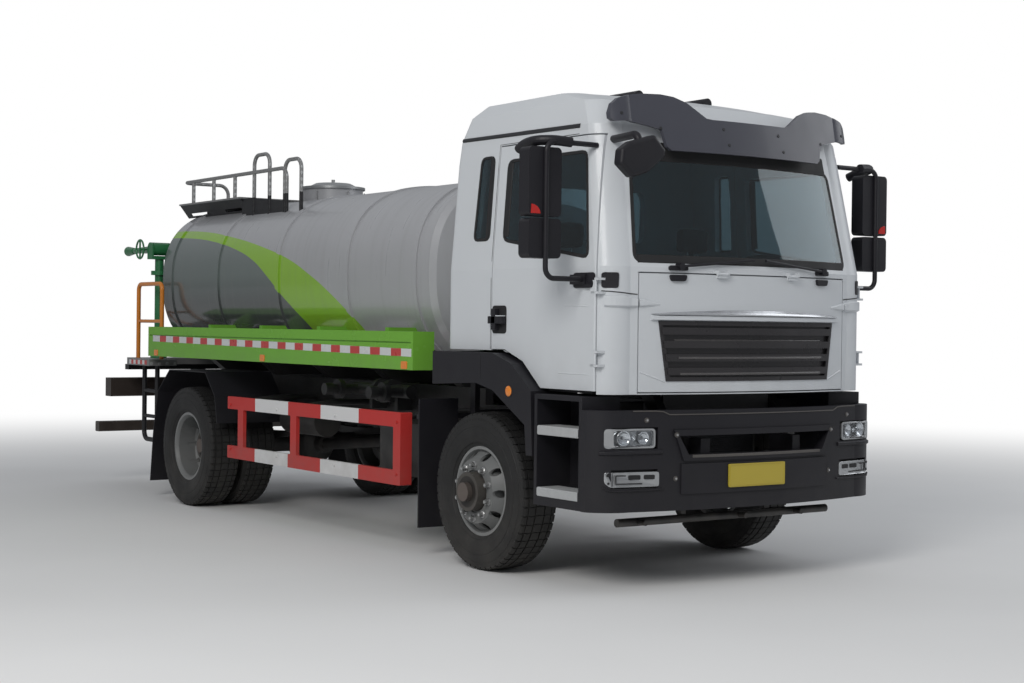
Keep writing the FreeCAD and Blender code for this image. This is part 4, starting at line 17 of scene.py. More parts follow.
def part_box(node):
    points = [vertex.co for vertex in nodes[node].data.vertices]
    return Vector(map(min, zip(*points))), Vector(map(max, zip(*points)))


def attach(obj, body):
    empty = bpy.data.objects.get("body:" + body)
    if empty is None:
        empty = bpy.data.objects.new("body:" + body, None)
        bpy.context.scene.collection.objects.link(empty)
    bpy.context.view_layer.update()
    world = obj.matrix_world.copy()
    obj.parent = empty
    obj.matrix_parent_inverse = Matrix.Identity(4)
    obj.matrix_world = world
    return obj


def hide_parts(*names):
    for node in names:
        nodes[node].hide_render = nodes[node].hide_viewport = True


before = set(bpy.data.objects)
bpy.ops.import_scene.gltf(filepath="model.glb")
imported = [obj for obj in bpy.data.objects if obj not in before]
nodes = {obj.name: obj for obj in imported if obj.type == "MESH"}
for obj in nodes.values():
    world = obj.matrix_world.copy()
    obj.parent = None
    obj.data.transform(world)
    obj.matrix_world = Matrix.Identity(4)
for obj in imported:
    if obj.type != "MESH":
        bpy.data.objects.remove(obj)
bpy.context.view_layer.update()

# %% [markdown]
# The drawing's own zero lies at the front axle, and the lorry's frame has its zero in the
# middle of the outline. Every place below is written from the front axle, as a workshop
# would measure it, and one shift turns it into the frame. The left side is +X.

# %% Stations and sides
axle_y = (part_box("tyre_front_left")[0].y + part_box("tyre_front_left")[1].y) / 2
shift = Vector((0.0, axle_y, 0.0))
wheelbase = 4.5
front_wheel_x, rear_outer_x, rear_inner_x = 1.035, 1.100, 0.760
sides = (("left", 1.0), ("right", -1.0))
print("front axle at y", round(axle_y, 4))


def at(x, y, z):
    """A point measured from the front axle, in the lorry's frame."""
    return Vector((x, y, z)) + shift


# %% [markdown]
# A piece is one mesh with one finish that rides on one moving body. These short helpers
# collect boxes, rods and skins over rings of points into one bmesh, so that a piece with
# many like parts stays one object with its place in its mesh.

# %% Shape helpers
def link(name, data):
    holder = bpy.data.objects.new(name, data)
    bpy.context.scene.collection.objects.link(holder)
    return holder


def mesh_of(name, shape):
    bmesh.ops.recalc_face_normals(shape, faces=shape.faces)
    data = bpy.data.meshes.new(name)
    shape.to_mesh(data)
    shape.free()
    return data


def evaluated_mesh(holder):
    """The plain mesh that comes out of an object's curve or modifiers."""
    bpy.context.view_layer.update()
    return bpy.data.meshes.new_from_object(holder.evaluated_get(bpy.context.evaluated_depsgraph_get()))


def dress(name, data, body, finish, slot_name, replaced=(), bevel=0.0, smooth=False):
    """Makes the object for a finished mesh, with its material, bevel and body. slot_name is not used."""
    piece = link(name, data)
    data.materials.clear()
    data.materials.append(finishes[finish])
    for face in data.polygons:
        face.use_smooth = smooth
    if bevel > 0:
        edge = piece.modifiers.new("bevel", "BEVEL")
        edge.width = bevel
        edge.segments = 2
        edge.limit_method = "ANGLE"
    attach(piece, body)
    if replaced:
        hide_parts(*replaced)
    return piece


def mesh_piece(name, shape, body, finish, slot_name, **options):
    """Turns a bmesh into a piece that rides on a body and wears a finish."""
    return dress(name, mesh_of(name, shape), body, finish, slot_name, **options)


def add_box(shape, low, high):
    """A closed box between two corners, given in either order."""
    middle = (Vector(low) + Vector(high)) / 2
    size = [abs(b - a) for a, b in zip(low, high)]
    matrix = Matrix.Translation(middle) @ Matrix.Diagonal((*size, 1.0))
    bmesh.ops.create_cube(shape, size=1.0, matrix=matrix)


def add_rod(shape, start, end, radius, sides_round=16, end_radius=None):
    """A closed rod or cone between two points."""
    way = end - start
    matrix = Matrix.Translation((start + end) / 2) @ way.to_track_quat("Z", "Y").to_matrix().to_4x4()
    bmesh.ops.create_cone(shape, cap_ends=True, segments=sides_round, radius1=radius,
                          radius2=radius if end_radius is None else end_radius, depth=way.length, matrix=matrix)


def skin(shape, rings, closed=False):
    """One closed skin over rings of points. An open row of rings gets a cap at both ends."""
    loops = [[shape.verts.new(point) for point in ring] for ring in rings]
    count = len(loops[0])
    for here, there in zip(loops, loops[1:] + loops[:1] if closed else loops[1:]):
        for i in range(count):
            after = (i + 1) % count
            shape.faces.new((here[i], here[after], there[after], there[i]))
    if not closed:
        shape.faces.new(loops[0][::-1])
        shape.faces.new(loops[-1])


def revolve(shape, centre, axis, profile, steps):
    """A closed profile of (radius, level) pairs turned about an axis."""
    turn = Vector(axis).to_track_quat("Z", "Y").to_matrix()
    angles = [math.tau * step / steps for step in range(steps)]
    skin(shape, [[centre + turn @ Vector((radius * math.cos(angle), radius * math.sin(angle), level))
                  for radius, level in profile] for angle in angles], closed=True)


def eased(here, back, ahead, reach, steps):
    """Points of the soft curve that cuts the corner at here."""
    first, last = here + back.normalized() * reach, here + ahead.normalized() * reach
    shares = [step / steps for step in range(steps + 1)]
    return [first * (1 - t) ** 2 + here * (2 * t * (1 - t)) + last * t ** 2 for t in shares]


def tube_mesh(name, path, radius, bend):
    """A round tube along an open path with rounded corners."""
    curve = bpy.data.curves.new(name, "CURVE")
    curve.dimensions = "3D"
    curve.bevel_depth = radius
    curve.bevel_resolution = 5
    curve.use_fill_caps = True
    line = [path[0]]
    for before, here, after in zip(path, path[1:], path[2:]):
        back, ahead = before - here, after - here
        line += eased(here, back, ahead, min(bend, back.length * 0.48, ahead.length * 0.48), 5)
    line.append(path[-1])
    spline = curve.splines.new("POLY")
    spline.points.add(len(line) - 1)
    for spot, point in zip(spline.points, line):
        spot.co = (*point, 1.0)
    holder = link(name + "_path", curve)
    data = evaluated_mesh(holder)
    data.name = name
    bpy.data.objects.remove(holder)
    return data


print("shape helpers ready")

# %% [markdown]
# The camera stands where the photographer stood: in front, on the lorry's right side, at
# about chest height on a slight rise, with a long lens, so that the sides of the lorry run
# nearly parallel. Its roll is a fraction of a degree.

# %% Camera
camera_place, camera_turns, camera_lens = (-7.262, -9.035, 1.615), (35.103, -0.554, 0.673), 58.2


def make_camera():
    yaw, pitch, roll = [math.radians(angle) for angle in camera_turns]
    forward = Vector((math.sin(yaw) * math.cos(pitch), math.cos(yaw) * math.cos(pitch), math.sin(pitch)))
    level = forward.cross(Vector((0, 0, 1))).normalized()
    above = level.cross(forward)
    right = level * math.cos(roll) + above * math.sin(roll)
    up = above * math.cos(roll) - level * math.sin(roll)
    turn = Matrix((right, up, -forward)).transposed().to_4x4()
    lens = bpy.data.cameras.new("camera")
    lens.lens = camera_lens
    lens.sensor_width = 36.0
    lens.clip_end = 400.0
    camera = link("camera", lens)
    camera.matrix_world = Matrix.Translation(at(*camera_place)) @ turn
    bpy.context.scene.camera = camera
    return camera


camera = make_camera()
print("camera at", [round(value, 3) for value in camera.matrix_world.translation])

# %% [markdown]
# Every finish starts from the same few nodes: a slow colour drift, dirt that fades out with
# height, a roughness that wanders, and a fine bump. They all read object coordinates, so
# the pattern has its real scale in metres and stays put when the part moves.

# %% Node helpers
finishes = {}


def wire(tree, node, inputs):
    """Sets a node's inputs, each to a value or to another node's output."""
    for socket, value in inputs.items():
        if isinstance(value, bpy.types.NodeSocket):
            tree.links.new(value, node.inputs[socket])
        else:
            node.inputs[socket].default_value = value


def new_node(tree, kind, inputs={}, **settings):
    node = tree.nodes.new(kind)
    for name, value in settings.items():
        setattr(node, name, value)
    wire(tree, node, inputs)
    return node


def new_finish(name):
    finishes[name] = bpy.data.materials.new(name)
    finishes[name].use_nodes = True
    tree = finishes[name].node_tree
    return tree, tree.nodes["Principled BSDF"], new_node(tree, "ShaderNodeTexCoord").outputs["Object"]


def noise_of(tree, place, scale, detail, stretch=None):
    if stretch:
        place = new_node(tree, "ShaderNodeMapping", {"Vector": place, "Scale": stretch}).outputs["Vector"]
    noise = new_node(tree, "ShaderNodeTexNoise", {"Vector": place, "Scale": scale, "Detail": detail})
    return noise.outputs["Fac"]


def mix_colours(tree, factor, first, second):
    """A mix of two colours; each is a value or another node's output."""
    first, second = [(*value, 1.0) if isinstance(value, tuple) else value for value in (first, second)]
    return new_node(tree, "ShaderNodeMix", {"Factor": factor, "A": first, "B": second},
                    data_type="RGBA").outputs["Result"]


def map_range(tree, value, low, high, new_low=0.0, new_high=1.0, smooth=False):
    return new_node(tree, "ShaderNodeMapRange", {"Value": value, "From Min": low, "From Max": high,
                                                 "To Min": new_low, "To Max": new_high},
                    interpolation_type="SMOOTHSTEP" if smooth else "LINEAR").outputs["Result"]


def calculate(tree, operation, first, second=0.0):
    return new_node(tree, "ShaderNodeMath", {0: first, 1: second}, operation=operation).outputs["Value"]


def axes_of(tree, place):
    return new_node(tree, "ShaderNodeSeparateXYZ", {0: place}).outputs


def add_bump(tree, shader, height, strength, distance):
    bump = new_node(tree, "ShaderNodeBump", {"Height": height, "Strength": strength, "Distance": distance})
    wire(tree, shader, {"Normal": bump.outputs["Normal"]})


def soil(tree, place, colour, amount, low_z, high_z, tint=(0.16, 0.145, 0.125)):
    """Road dust that is thick at low_z and gone at high_z, broken up by noise."""
    fade = map_range(tree, axes_of(tree, place)["Z"], low_z, high_z, amount, 0.0, smooth=True)
    patch = map_range(tree, noise_of(tree, place, 7.0, 6.0), 0.35, 0.7, 0.25, 1.0)
    return mix_colours(tree, calculate(tree, "MULTIPLY", fade, patch), colour, tint)


def finish_surface(tree, shader, place, colour, rough, grain=0.0, bump=0.0, swing=0.06):
    """Links the colour, a wandering roughness and a fine bump to the shader."""
    wander = noise_of(tree, place, 5.0, 4.0)
    wire(tree, shader, {"Base Color": colour,
                        "Roughness": map_range(tree, wander, 0.3, 0.7, rough - swing, rough + swing)})
    if bump:
        add_bump(tree, shader, noise_of(tree, place, grain, 2.0), bump, 0.001)


def painted(name, colour, rough, coat, metallic, drift, grain, bump, dust=None, specular=0.5):
    """Paint, plastic or bare metal with drift, dust and grain."""
    tree, shader, place = new_finish(name)
    darker = tuple(channel * (1 - drift) for channel in colour)
    lighter = tuple(min(1.0, channel * (1 + drift)) for channel in colour)
    mixed = mix_colours(tree, noise_of(tree, place, 1.7, 5.0), darker, lighter)
    if dust:
        mixed = soil(tree, place, mixed, *dust)
    finish_surface(tree, shader, place, mixed, rough, grain, bump)
    wire(tree, shader, {"Metallic": metallic, "Coat Weight": coat, "Coat Roughness": 0.06,
                        "Specular IOR Level": specular})


print("node helpers ready")

# %% [markdown]
# The stage is a plain pale floor under an even sky. One soft key lamp comes from high in
# front on the camera's side, one weaker fill from the other side, and the world gives the
# rest, so that a colour renders about as it is written. The background is white only to
# the camera, and the floor fades into it far from the lorry.

# %% Stage and light
def floor_finish():
    tree, shader, place = new_finish("floor_finish")
    shade = mix_colours(tree, noise_of(tree, place, 0.6, 2.0), (0.74, 0.74, 0.735), (0.80, 0.80, 0.795))
    wire(tree, shader, {"Base Color": shade, "Roughness": 0.85, "Specular IOR Level": 0.25})
    length = new_node(tree, "ShaderNodeVectorMath", {0: place}, operation="LENGTH").outputs["Value"]
    seen = new_node(tree, "ShaderNodeLightPath").outputs["Is Camera Ray"]
    share = calculate(tree, "MULTIPLY", map_range(tree, length, 5.0, 17.0, smooth=True), seen)
    mix = new_node(tree, "ShaderNodeMixShader", {0: share, 1: shader.outputs[0],
                                                 2: new_node(tree, "ShaderNodeEmission").outputs[0]})
    wire(tree, tree.nodes["Material Output"], {"Surface": mix.outputs[0]})


def make_floor():
    shape = bmesh.new()
    bmesh.ops.create_grid(shape, x_segments=1, y_segments=1, size=120.0)
    data = bpy.data.meshes.new("floor")
    shape.to_mesh(data)
    shape.free()
    floor_finish()
    data.materials.append(finishes["floor_finish"])
    link("floor", data)


def add_lamp(name, place, target, size, watts, colour):
    lamp = bpy.data.lights.new(name, "AREA")
    lamp.shape = "DISK"
    lamp.size = size
    lamp.energy = watts
    lamp.color = colour
    holder = link(name, lamp)
    holder.location = place
    holder.rotation_euler = (target - place).to_track_quat("-Z", "Y").to_euler()


def make_world():
    world = bpy.data.worlds.new("sky")
    bpy.context.scene.world = world
    world.use_nodes = True
    tree = world.node_tree
    seen = new_node(tree, "ShaderNodeLightPath").outputs["Is Camera Ray"]
    up = axes_of(tree, new_node(tree, "ShaderNodeTexCoord").outputs["Generated"])["Z"]
    sky = mix_colours(tree, map_range(tree, up, 0.0, 0.55), (0.42, 0.43, 0.45), (0.92, 0.95, 1.0))
    wire(tree, tree.nodes["Background"], {"Color": mix_colours(tree, seen, sky, (1.0, 1.0, 1.0)),
                                          "Strength": map_range(tree, seen, 0.0, 1.0, 0.45, 1.0)})


make_floor()
make_world()
add_lamp("key", at(-10.6, -6.6, 9.0), at(0.0, 1.0, 1.5), 6.0, 900.0, (1.0, 0.985, 0.96))
add_lamp("fill", at(9.0, -4.0, 7.0), at(0.0, 1.5, 1.5), 7.0, 240.0, (0.95, 0.97, 1.0))
bpy.context.scene.view_settings.view_transform = "Standard"
print("stage and light ready")

# %% [markdown]
# Most finishes differ only in numbers. The cab is a cool white satin paint, the visor and
# bumper are dark plastics with a fine grain, the chassis is black paint under road dust.

# %% Plain finishes
# name, colour, roughness, coat, metallic, drift, grain, bump, dust (amount, low, high), specular
for row in (
        ("white_paint", (0.59, 0.615, 0.64), 0.40, 0.18, 0.0, 0.02, 900.0, 0.012, (0.12, 1.1, 1.7), 0.4),
        ("black_plastic", (0.014, 0.0135, 0.017), 0.46, 0.0, 0.0, 0.12, 420.0, 0.12, (0.05, 0.3, 1.2), 0.3),
        ("visor_plastic", (0.060, 0.062, 0.078), 0.34, 0.12, 0.0, 0.05, 500.0, 0.01, None, 0.35),
        ("grille_plastic", (0.028, 0.026, 0.028), 0.30, 0.0, 0.0, 0.08, 500.0, 0.05),
        # a grey lighter than the grille, a painted highlight on the edges of its bars
        ("crest_grey", (0.085, 0.080, 0.080), 0.22, 0.2, 0.0, 0.08, 400.0, 0.03),
        ("chassis_black", (0.014, 0.014, 0.015), 0.45, 0.0, 0.0, 0.15, 150.0, 0.1, (0.35, 0.2, 1.2)),
        ("cast_black", (0.022, 0.022, 0.024), 0.55, 0.0, 0.0, 0.2, 260.0, 0.35, (0.45, 0.1, 1.0)),
        ("engine_grey", (0.07, 0.072, 0.078), 0.5, 0.0, 0.3, 0.2, 220.0, 0.3, (0.3, 0.3, 1.2)),
        ("trim_dark", (0.022, 0.023, 0.026), 0.6, 0.0, 0.0, 0.12, 520.0, 0.18),
        ("silver_trim", (0.50, 0.51, 0.53), 0.2, 0.0, 0.75, 0.04, 300.0, 0.03),
        ("bright_steel", (0.55, 0.55, 0.55), 0.28, 0.0, 0.9, 0.08, 400.0, 0.06),
        ("alloy_plain", (0.36, 0.37, 0.375), 0.38, 0.0, 0.7, 0.08, 260.0, 0.06),
        ("tread_alloy", (0.47, 0.48, 0.485), 0.45, 0.0, 0.2, 0.06, 260.0, 0.06),
        ("pipe_dark", (0.030, 0.031, 0.033), 0.45, 0.0, 0.0, 0.12, 260.0, 0.12, (0.2, 0.5, 1.4)),
        ("orange_paint", (0.62, 0.20, 0.018), 0.32, 0.2, 0.0, 0.12, 260.0, 0.08),
        ("cannon_paint", (0.022, 0.16, 0.055), 0.3, 0.3, 0.0, 0.12, 260.0, 0.1),
        ("beam_brown", (0.035, 0.026, 0.022), 0.42, 0.0, 0.0, 0.15, 200.0, 0.12, (0.2, 0.4, 1.2)),
        ("rubber_seal", (0.012, 0.012, 0.013), 0.7, 0.0, 0.0, 0.1, 600.0, 0.1),
        ("mirror_face", (0.75, 0.77, 0.79), 0.05, 0.0, 1.0, 0.02, 60.0, 0.0),
        ("reflector_cup", (0.70, 0.71, 0.72), 0.10, 0.0, 1.0, 0.05, 60.0, 0.0),
        ("lamp_silver", (0.40, 0.41, 0.42), 0.22, 0.3, 0.55, 0.06, 300.0, 0.03),
        ("lamp_amber", (0.75, 0.22, 0.02), 0.15, 0.6, 0.0, 0.06, 320.0, 0.1),
        ("lamp_red", (0.50, 0.018, 0.014), 0.15, 0.6, 0.0, 0.06, 320.0, 0.1),
        ("dusty_plastic", (0.085, 0.078, 0.072), 0.55, 0.0, 0.0, 0.2, 260.0, 0.15),
        ("tape_red", (0.48, 0.035, 0.030), 0.3, 0.3, 0.0, 0.08, 900.0, 0.1),
        ("tape_white", (0.60, 0.62, 0.62), 0.3, 0.3, 0.0, 0.06, 900.0, 0.1),
        ("plate_yellow", (0.46, 0.36, 0.035), 0.35, 0.3, 0.0, 0.06, 400.0, 0.05),
        ("green_paint", (0.16, 0.40, 0.045), 0.24, 0.05, 0.0, 0.05, 500.0, 0.03, (0.18, 1.25, 1.5), 0.2)):
    painted(*row)
print("plain finishes", len(finishes))

# %% [markdown]
# The tank carries a painted sweep: a lime stripe that falls from the rear shoulder to the
# lower edge amidships, with satin silver above it and a darker gloss grey below. Two curves
# give the height of the stripe's edges along the tank, so it follows the surface and is the
# same on both sides.

# %% Tank finish
sweep_top = ((1.9, 1.2), (2.11, 1.59), (2.30, 1.74), (2.56, 1.887), (2.84, 2.01), (3.20, 2.138), (3.76, 2.264),
             (4.40, 2.367), (5.10, 2.445), (5.9, 2.475))
sweep_foot = ((2.75, 1.2), (2.96, 1.583), (3.115, 1.711), (3.36, 1.865), (3.56, 1.991), (3.89, 2.155),
              (4.305, 2.265), (4.745, 2.337), (5.20, 2.383), (5.9, 2.41))
chart_y, chart_z, chart_size = 1.0, 1.0, (5.0, 2.0)
edge_blur = 0.002


def under_edge(tree, along, height, points):
    """One below a painted edge whose height changes along the lorry, zero above it."""
    node = new_node(tree, "ShaderNodeFloatCurve", {"Value": along})
    curve = node.mapping.curves[0]
    spots = [((y - chart_y) / chart_size[0], (z - chart_z) / chart_size[1]) for y, z in points]
    curve.points[0].location = (0.0, 0.0)
    curve.points[1].location = (1.0, spots[-1][1])
    for spot in spots:
        curve.points.new(*spot)
    node.mapping.update()
    edge = map_range(tree, node.outputs["Value"], 0.0, 1.0, chart_z, chart_z + chart_size[1])
    return map_range(tree, calculate(tree, "SUBTRACT", edge, height), -edge_blur, edge_blur)


def make_tank_finish():
    tree, shader, place = new_finish("tank_finish")
    axes = axes_of(tree, place)
    start = axle_y + chart_y
    along = map_range(tree, axes["Y"], start, start + chart_size[0])
    in_stripe = under_edge(tree, along, axes["Z"], sweep_top)
    in_grey = under_edge(tree, along, axes["Z"], sweep_foot)
    silver = mix_colours(tree, noise_of(tree, place, 1.2, 5.0), (0.36, 0.365, 0.38), (0.42, 0.425, 0.44))
    grey = mix_colours(tree, map_range(tree, axes["Z"], 1.75, 2.05, smooth=True), (0.085, 0.092, 0.094),
                       (0.150, 0.178, 0.172))
    lime = mix_colours(tree, noise_of(tree, place, 1.5, 4.0), (0.24, 0.46, 0.035), (0.29, 0.52, 0.05))
    colour = mix_colours(tree, in_grey, mix_colours(tree, in_stripe, silver, lime), grey)
    streak = noise_of(tree, place, 2.0, 5.0, stretch=(1.0, 9.0, 0.6))
    grime = map_range(tree, streak, 0.52, 0.75, 0.0, 0.14)
    rough = calculate(tree, "SUBTRACT", map_range(tree, streak, 0.3, 0.7, 0.27, 0.35),
                      calculate(tree, "MULTIPLY", in_stripe, 0.14))
    wire(tree, shader, {"Base Color": mix_colours(tree, grime, colour, (0.20, 0.195, 0.18)), "Roughness": rough,
                        "Metallic": 0.15, "Coat Weight": 0.35, "Coat Roughness": 0.08})
    add_bump(tree, shader, noise_of(tree, place, 2.2, 2.0), 0.12, 0.01)
    print("tank finish nodes", len(tree.nodes))


make_tank_finish()

# %% [markdown]
# The side guards are painted in long red and white bands. The colour changes at measured
# stations along the lorry, so a ramp with hard steps gives the bands on both sides at once.

# %% Guard finish
guard_edges = (1.487, 2.073, 2.600, 3.182)
guard_start, guard_length = 0.5, 4.0


def make_guard_finish():
    tree, shader, place = new_finish("guard_bands")
    low = axle_y + guard_start
    share = map_range(tree, axes_of(tree, place)["Y"], low, low + guard_length)
    ramp = new_node(tree, "ShaderNodeValToRGB", {"Fac": share})
    ramp.color_ramp.interpolation = "CONSTANT"
    bands = ((0.50, 0.034, 0.030, 1), (0.68, 0.68, 0.68, 1))
    elements = ramp.color_ramp.elements
    elements[0].color = bands[0]
    elements[1].position = (guard_edges[0] - guard_start) / guard_length
    elements[1].color = bands[1]
    for i, edge in enumerate(guard_edges[1:]):
        elements.new((edge - guard_start) / guard_length).color = bands[i % 2]
    finish_surface(tree, shader, place, soil(tree, place, ramp.outputs["Color"], 0.30, 0.35, 1.1), 0.40, 260.0, 0.08)
    wire(tree, shader, {"Specular IOR Level": 0.25})


make_guard_finish()
print("guard edges", guard_edges)

# %% [markdown]
# Glass is tinted greenish blue and lets the dark cab show through. Rubber gets a fine grain
# and dust low down. Seat cloth has a weave from two crossed waves. The wheels are grey, dark
# round the hub, with a rusty brown cap in the middle.

# %% Glass, rubber, cloth, chequer plate and wheels
def make_glass(name, tint, rough):
    tree, shader, place = new_finish(name)
    lighter = tuple(channel * 1.12 for channel in tint)
    wire(tree, shader, {"Base Color": mix_colours(tree, noise_of(tree, place, 1.5, 3.0), tint, lighter),
                        "Roughness": map_range(tree, noise_of(tree, place, 3.0, 3.0), 0.0, 1.0, rough, rough + 0.03),
                        "Transmission Weight": 1.0, "IOR": 1.45})


def make_rubber():
    tree, shader, place = new_finish("tyre_rubber")
    base = mix_colours(tree, noise_of(tree, place, 9.0, 5.0), (0.008, 0.008, 0.0085), (0.014, 0.0135, 0.013))
    colour = soil(tree, place, base, 0.30, 0.0, 0.75, tint=(0.10, 0.092, 0.08))
    finish_surface(tree, shader, place, colour, 0.68, 500.0, 0.25, swing=0.08)


def make_cloth():
    tree, shader, place = new_finish("seat_cloth")
    waves = [new_node(tree, "ShaderNodeTexWave", {"Vector": place, "Scale": 180.0, "Distortion": 0.4},
                      bands_direction=direction).outputs["Fac"] for direction in ("X", "Z")]
    weave = calculate(tree, "MULTIPLY", *waves)
    wire(tree, shader, {"Base Color": mix_colours(tree, weave, (0.030, 0.031, 0.036), (0.065, 0.067, 0.075)),
                        "Roughness": 0.9, "Sheen Weight": 0.3})
    add_bump(tree, shader, weave, 0.4, 0.001)


def make_chequer(name, dark_below):
    """Plate with raised lozenges, two crossed sets of short bars, and painted shade below it."""
    tree, shader, place = new_finish(name)
    bars = []
    for angle in (45.0, -45.0):
        turned = new_node(tree, "ShaderNodeMapping", {"Vector": place, "Rotation": (0.0, 0.0, math.radians(angle)),
                                                      "Scale": (18.0, 60.0, 18.0)}).outputs["Vector"]
        cell = new_node(tree, "ShaderNodeTexVoronoi", {"Vector": turned, "Scale": 1.0, "Randomness": 0.0})
        bars.append(map_range(tree, cell.outputs["Distance"], 0.22, 0.34, 1.0, 0.0, smooth=True))
    height = calculate(tree, "MAXIMUM", *bars)
    # Painted shade: everything below dark_below turns near black, for the shade under the plate.
    above = map_range(tree, axes_of(tree, place)["Z"], dark_below, dark_below + 0.004)
    plate = mix_colours(tree, height, (0.24, 0.24, 0.24), (0.42, 0.43, 0.43))
    finish_surface(tree, shader, place, mix_colours(tree, above, (0.020, 0.020, 0.022), plate), 0.45)
    wire(tree, shader, {"Metallic": 0.35})
    add_bump(tree, shader, height, 0.6, 0.003)


def make_wheel_finish(name, centre_y):
    """Rings of colour round the wheel's axis, each from an inner radius outwards."""
    tree, shader, place = new_finish(name)
    axes = axes_of(tree, place)
    forward = calculate(tree, "SUBTRACT", axes["Y"], centre_y + axle_y)
    upward = calculate(tree, "SUBTRACT", axes["Z"], 0.522)
    radius = calculate(tree, "SQRT", calculate(tree, "ADD", calculate(tree, "MULTIPLY", forward, forward),
                                               calculate(tree, "MULTIPLY", upward, upward)))
    colour = (0.215, 0.220, 0.220)
    for first, last, inside in ((0.262, 0.284, (0.150, 0.155, 0.155)), (0.128, 0.133, (0.060, 0.055, 0.050)),
                                (0.100, 0.106, (0.014, 0.012, 0.011)), (0.060, 0.064, (0.105, 0.085, 0.075))):
        colour = mix_colours(tree, map_range(tree, radius, first, last), inside, colour)
    finish_surface(tree, shader, place, soil(tree, place, colour, 0.22, 0.15, 1.0), 0.48, 300.0, 0.06)
    wire(tree, shader, {"Specular IOR Level": 0.4})


make_glass("tinted_glass", (0.30, 0.42, 0.46), 0.0)
make_glass("lens_clear", (0.86, 0.88, 0.90), 0.02)
make_rubber()
make_cloth()
# Both plates are painted dark below the given height, for the shade under them.
make_chequer("walk_plate", 2.728)
make_chequer("deck_plate", 1.196)
make_wheel_finish("front_wheel_finish", 0.0)
make_wheel_finish("rear_wheel_finish", wheelbase)
print("special finishes ready")

# %% [markdown]
# Each solid that comes from the construction model gets the finish of what it is. Where a
# later piece stands in for a solid, that solid is hidden there.

# %% Finishes of the solids
dressed_solids = set()
for finish, names in (
        ("chassis_black", "air_tanks battery_box cab_floor cross_members frame_rails fuel_tank guard_brackets "
                          "spray_bar subframe"),
        ("black_plastic", "cab_fittings front_bumper front_fenders rear_mudguards steps mirror_left mirror_right"),
        ("white_paint", "cab_shell front_flap door_left door_right"),
        ("tinted_glass", "cab_windows windshield door_glass_left door_glass_right"),
        ("cannon_paint", "cannon_barrel cannon_head cannon_standpipe"),
        ("cast_black", "front_axle rear_axle tie_rod knuckle_left knuckle_right"),
        ("tyre_rubber", "tyre_front_left tyre_front_right tyres_rear_left tyres_rear_right"),
        ("front_wheel_finish", "rim_front_left rim_front_right"),
        ("rear_wheel_finish", "rims_rear_left rims_rear_right"),
        ("trim_dark", "dashboard"), ("orange_paint", "deck_rails"), ("engine_grey", "engine"),
        ("lens_clear", "front_lamps"), ("grille_plastic", "grille"), ("alloy_plain", "manhole_lid"),
        ("beam_brown", "rear_beams"), ("deck_plate", "rear_deck"), ("seat_cloth", "seats"),
        ("guard_bands", "side_guards"), ("green_paint", "skirts"), ("visor_plastic", "sun_visor"),
        ("lamp_red", "tail_lamps"), ("tank_finish", "tank"), ("walk_plate", "top_walkway"),
        ("pipe_dark", "water_pipes")):
    for name in names.split():
        nodes[name].data.materials.clear()
        nodes[name].data.materials.append(finishes[finish])
        dressed_solids.add(name)
print("dressed solids", len(dressed_solids), "left plain", sorted(set(nodes) - dressed_solids))

# %% [markdown]
# Nuts, screws, tread blocks, fins and ribs repeat, so Geometry Nodes place them. Three small
# trees do all of it: one turns a part about an axis, one steps it along a line, and one
# sets round heads on given spots, facing outwards. Each ends in real geometry, which is
# baked to a plain mesh, so that nothing live is left on the piece.

# %% Geometry Nodes trees
def grow_tree(name, inputs, build):
    """A node group that builds instances, makes them real and gives them their finish."""
    tree = bpy.data.node_groups.new(name, "GeometryNodeTree")
    for label, kind in (("Geometry", "Geometry"), *inputs, ("Finish", "Material")):
        tree.interface.new_socket(name=label, in_out="INPUT", socket_type="NodeSocket" + kind)
    tree.interface.new_socket(name="Geometry", in_out="OUTPUT", socket_type="NodeSocketGeometry")
    given, result = new_node(tree, "NodeGroupInput").outputs, new_node(tree, "NodeGroupOutput")
    real = new_node(tree, "GeometryNodeRealizeInstances", {0: build(tree, given)})
    paint = new_node(tree, "GeometryNodeSetMaterial", {"Geometry": real.outputs[0], "Material": given["Finish"]})
    wire(tree, result, {0: paint.outputs[0]})
    return tree


def turned_copies(tree, given):
    """Copies of a part turned about an axis through a centre."""
    spots = new_node(tree, "GeometryNodeMeshLine", {"Count": given["Count"], "Offset": (0.0, 0.0, 0.0)})
    place = new_node(tree, "GeometryNodeInstanceOnPoints", {"Points": spots.outputs[0], "Instance": given["Geometry"]})
    index = new_node(tree, "GeometryNodeInputIndex").outputs[0]
    angle = calculate(tree, "MULTIPLY", index, calculate(tree, "DIVIDE", math.tau, given["Count"]))
    turn = new_node(tree, "ShaderNodeVectorMath", operation="SCALE")
    wire(tree, turn, {0: given["Axis"], "Scale": angle})
    rotation = new_node(tree, "FunctionNodeEulerToRotation", {0: turn.outputs[0]})
    return new_node(tree, "GeometryNodeRotateInstances", {
        "Instances": place.outputs[0], "Rotation": rotation.outputs[0], "Pivot Point": given["Centre"],
        "Local Space": False}).outputs[0]


def stepped_copies(tree, given):
    """Copies of a part along a straight step."""
    spots = new_node(tree, "GeometryNodeMeshLine", {"Count": given["Count"], "Offset": given["Step"]})
    return new_node(tree, "GeometryNodeInstanceOnPoints",
                    {"Points": spots.outputs[0], "Instance": given["Geometry"]}).outputs[0]


def faced_heads(tree, given):
    """Round or six-sided heads on the points of a mesh, each along its point's facing."""
    head = new_node(tree, "GeometryNodeMeshCone", {"Vertices": given["Sides"], "Radius Bottom": given["Radius"],
                                                   "Radius Top": given["Top"], "Depth": given["Height"]})
    facing = new_node(tree, "GeometryNodeInputNamedAttribute", {"Name": "facing"}, data_type="FLOAT_VECTOR")
    align = new_node(tree, "FunctionNodeAlignRotationToVector", {"Vector": facing.outputs["Attribute"]}, axis="Z")
    return new_node(tree, "GeometryNodeInstanceOnPoints", {
        "Points": given["Geometry"], "Instance": head.outputs["Mesh"], "Rotation": align.outputs[0]}).outputs[0]


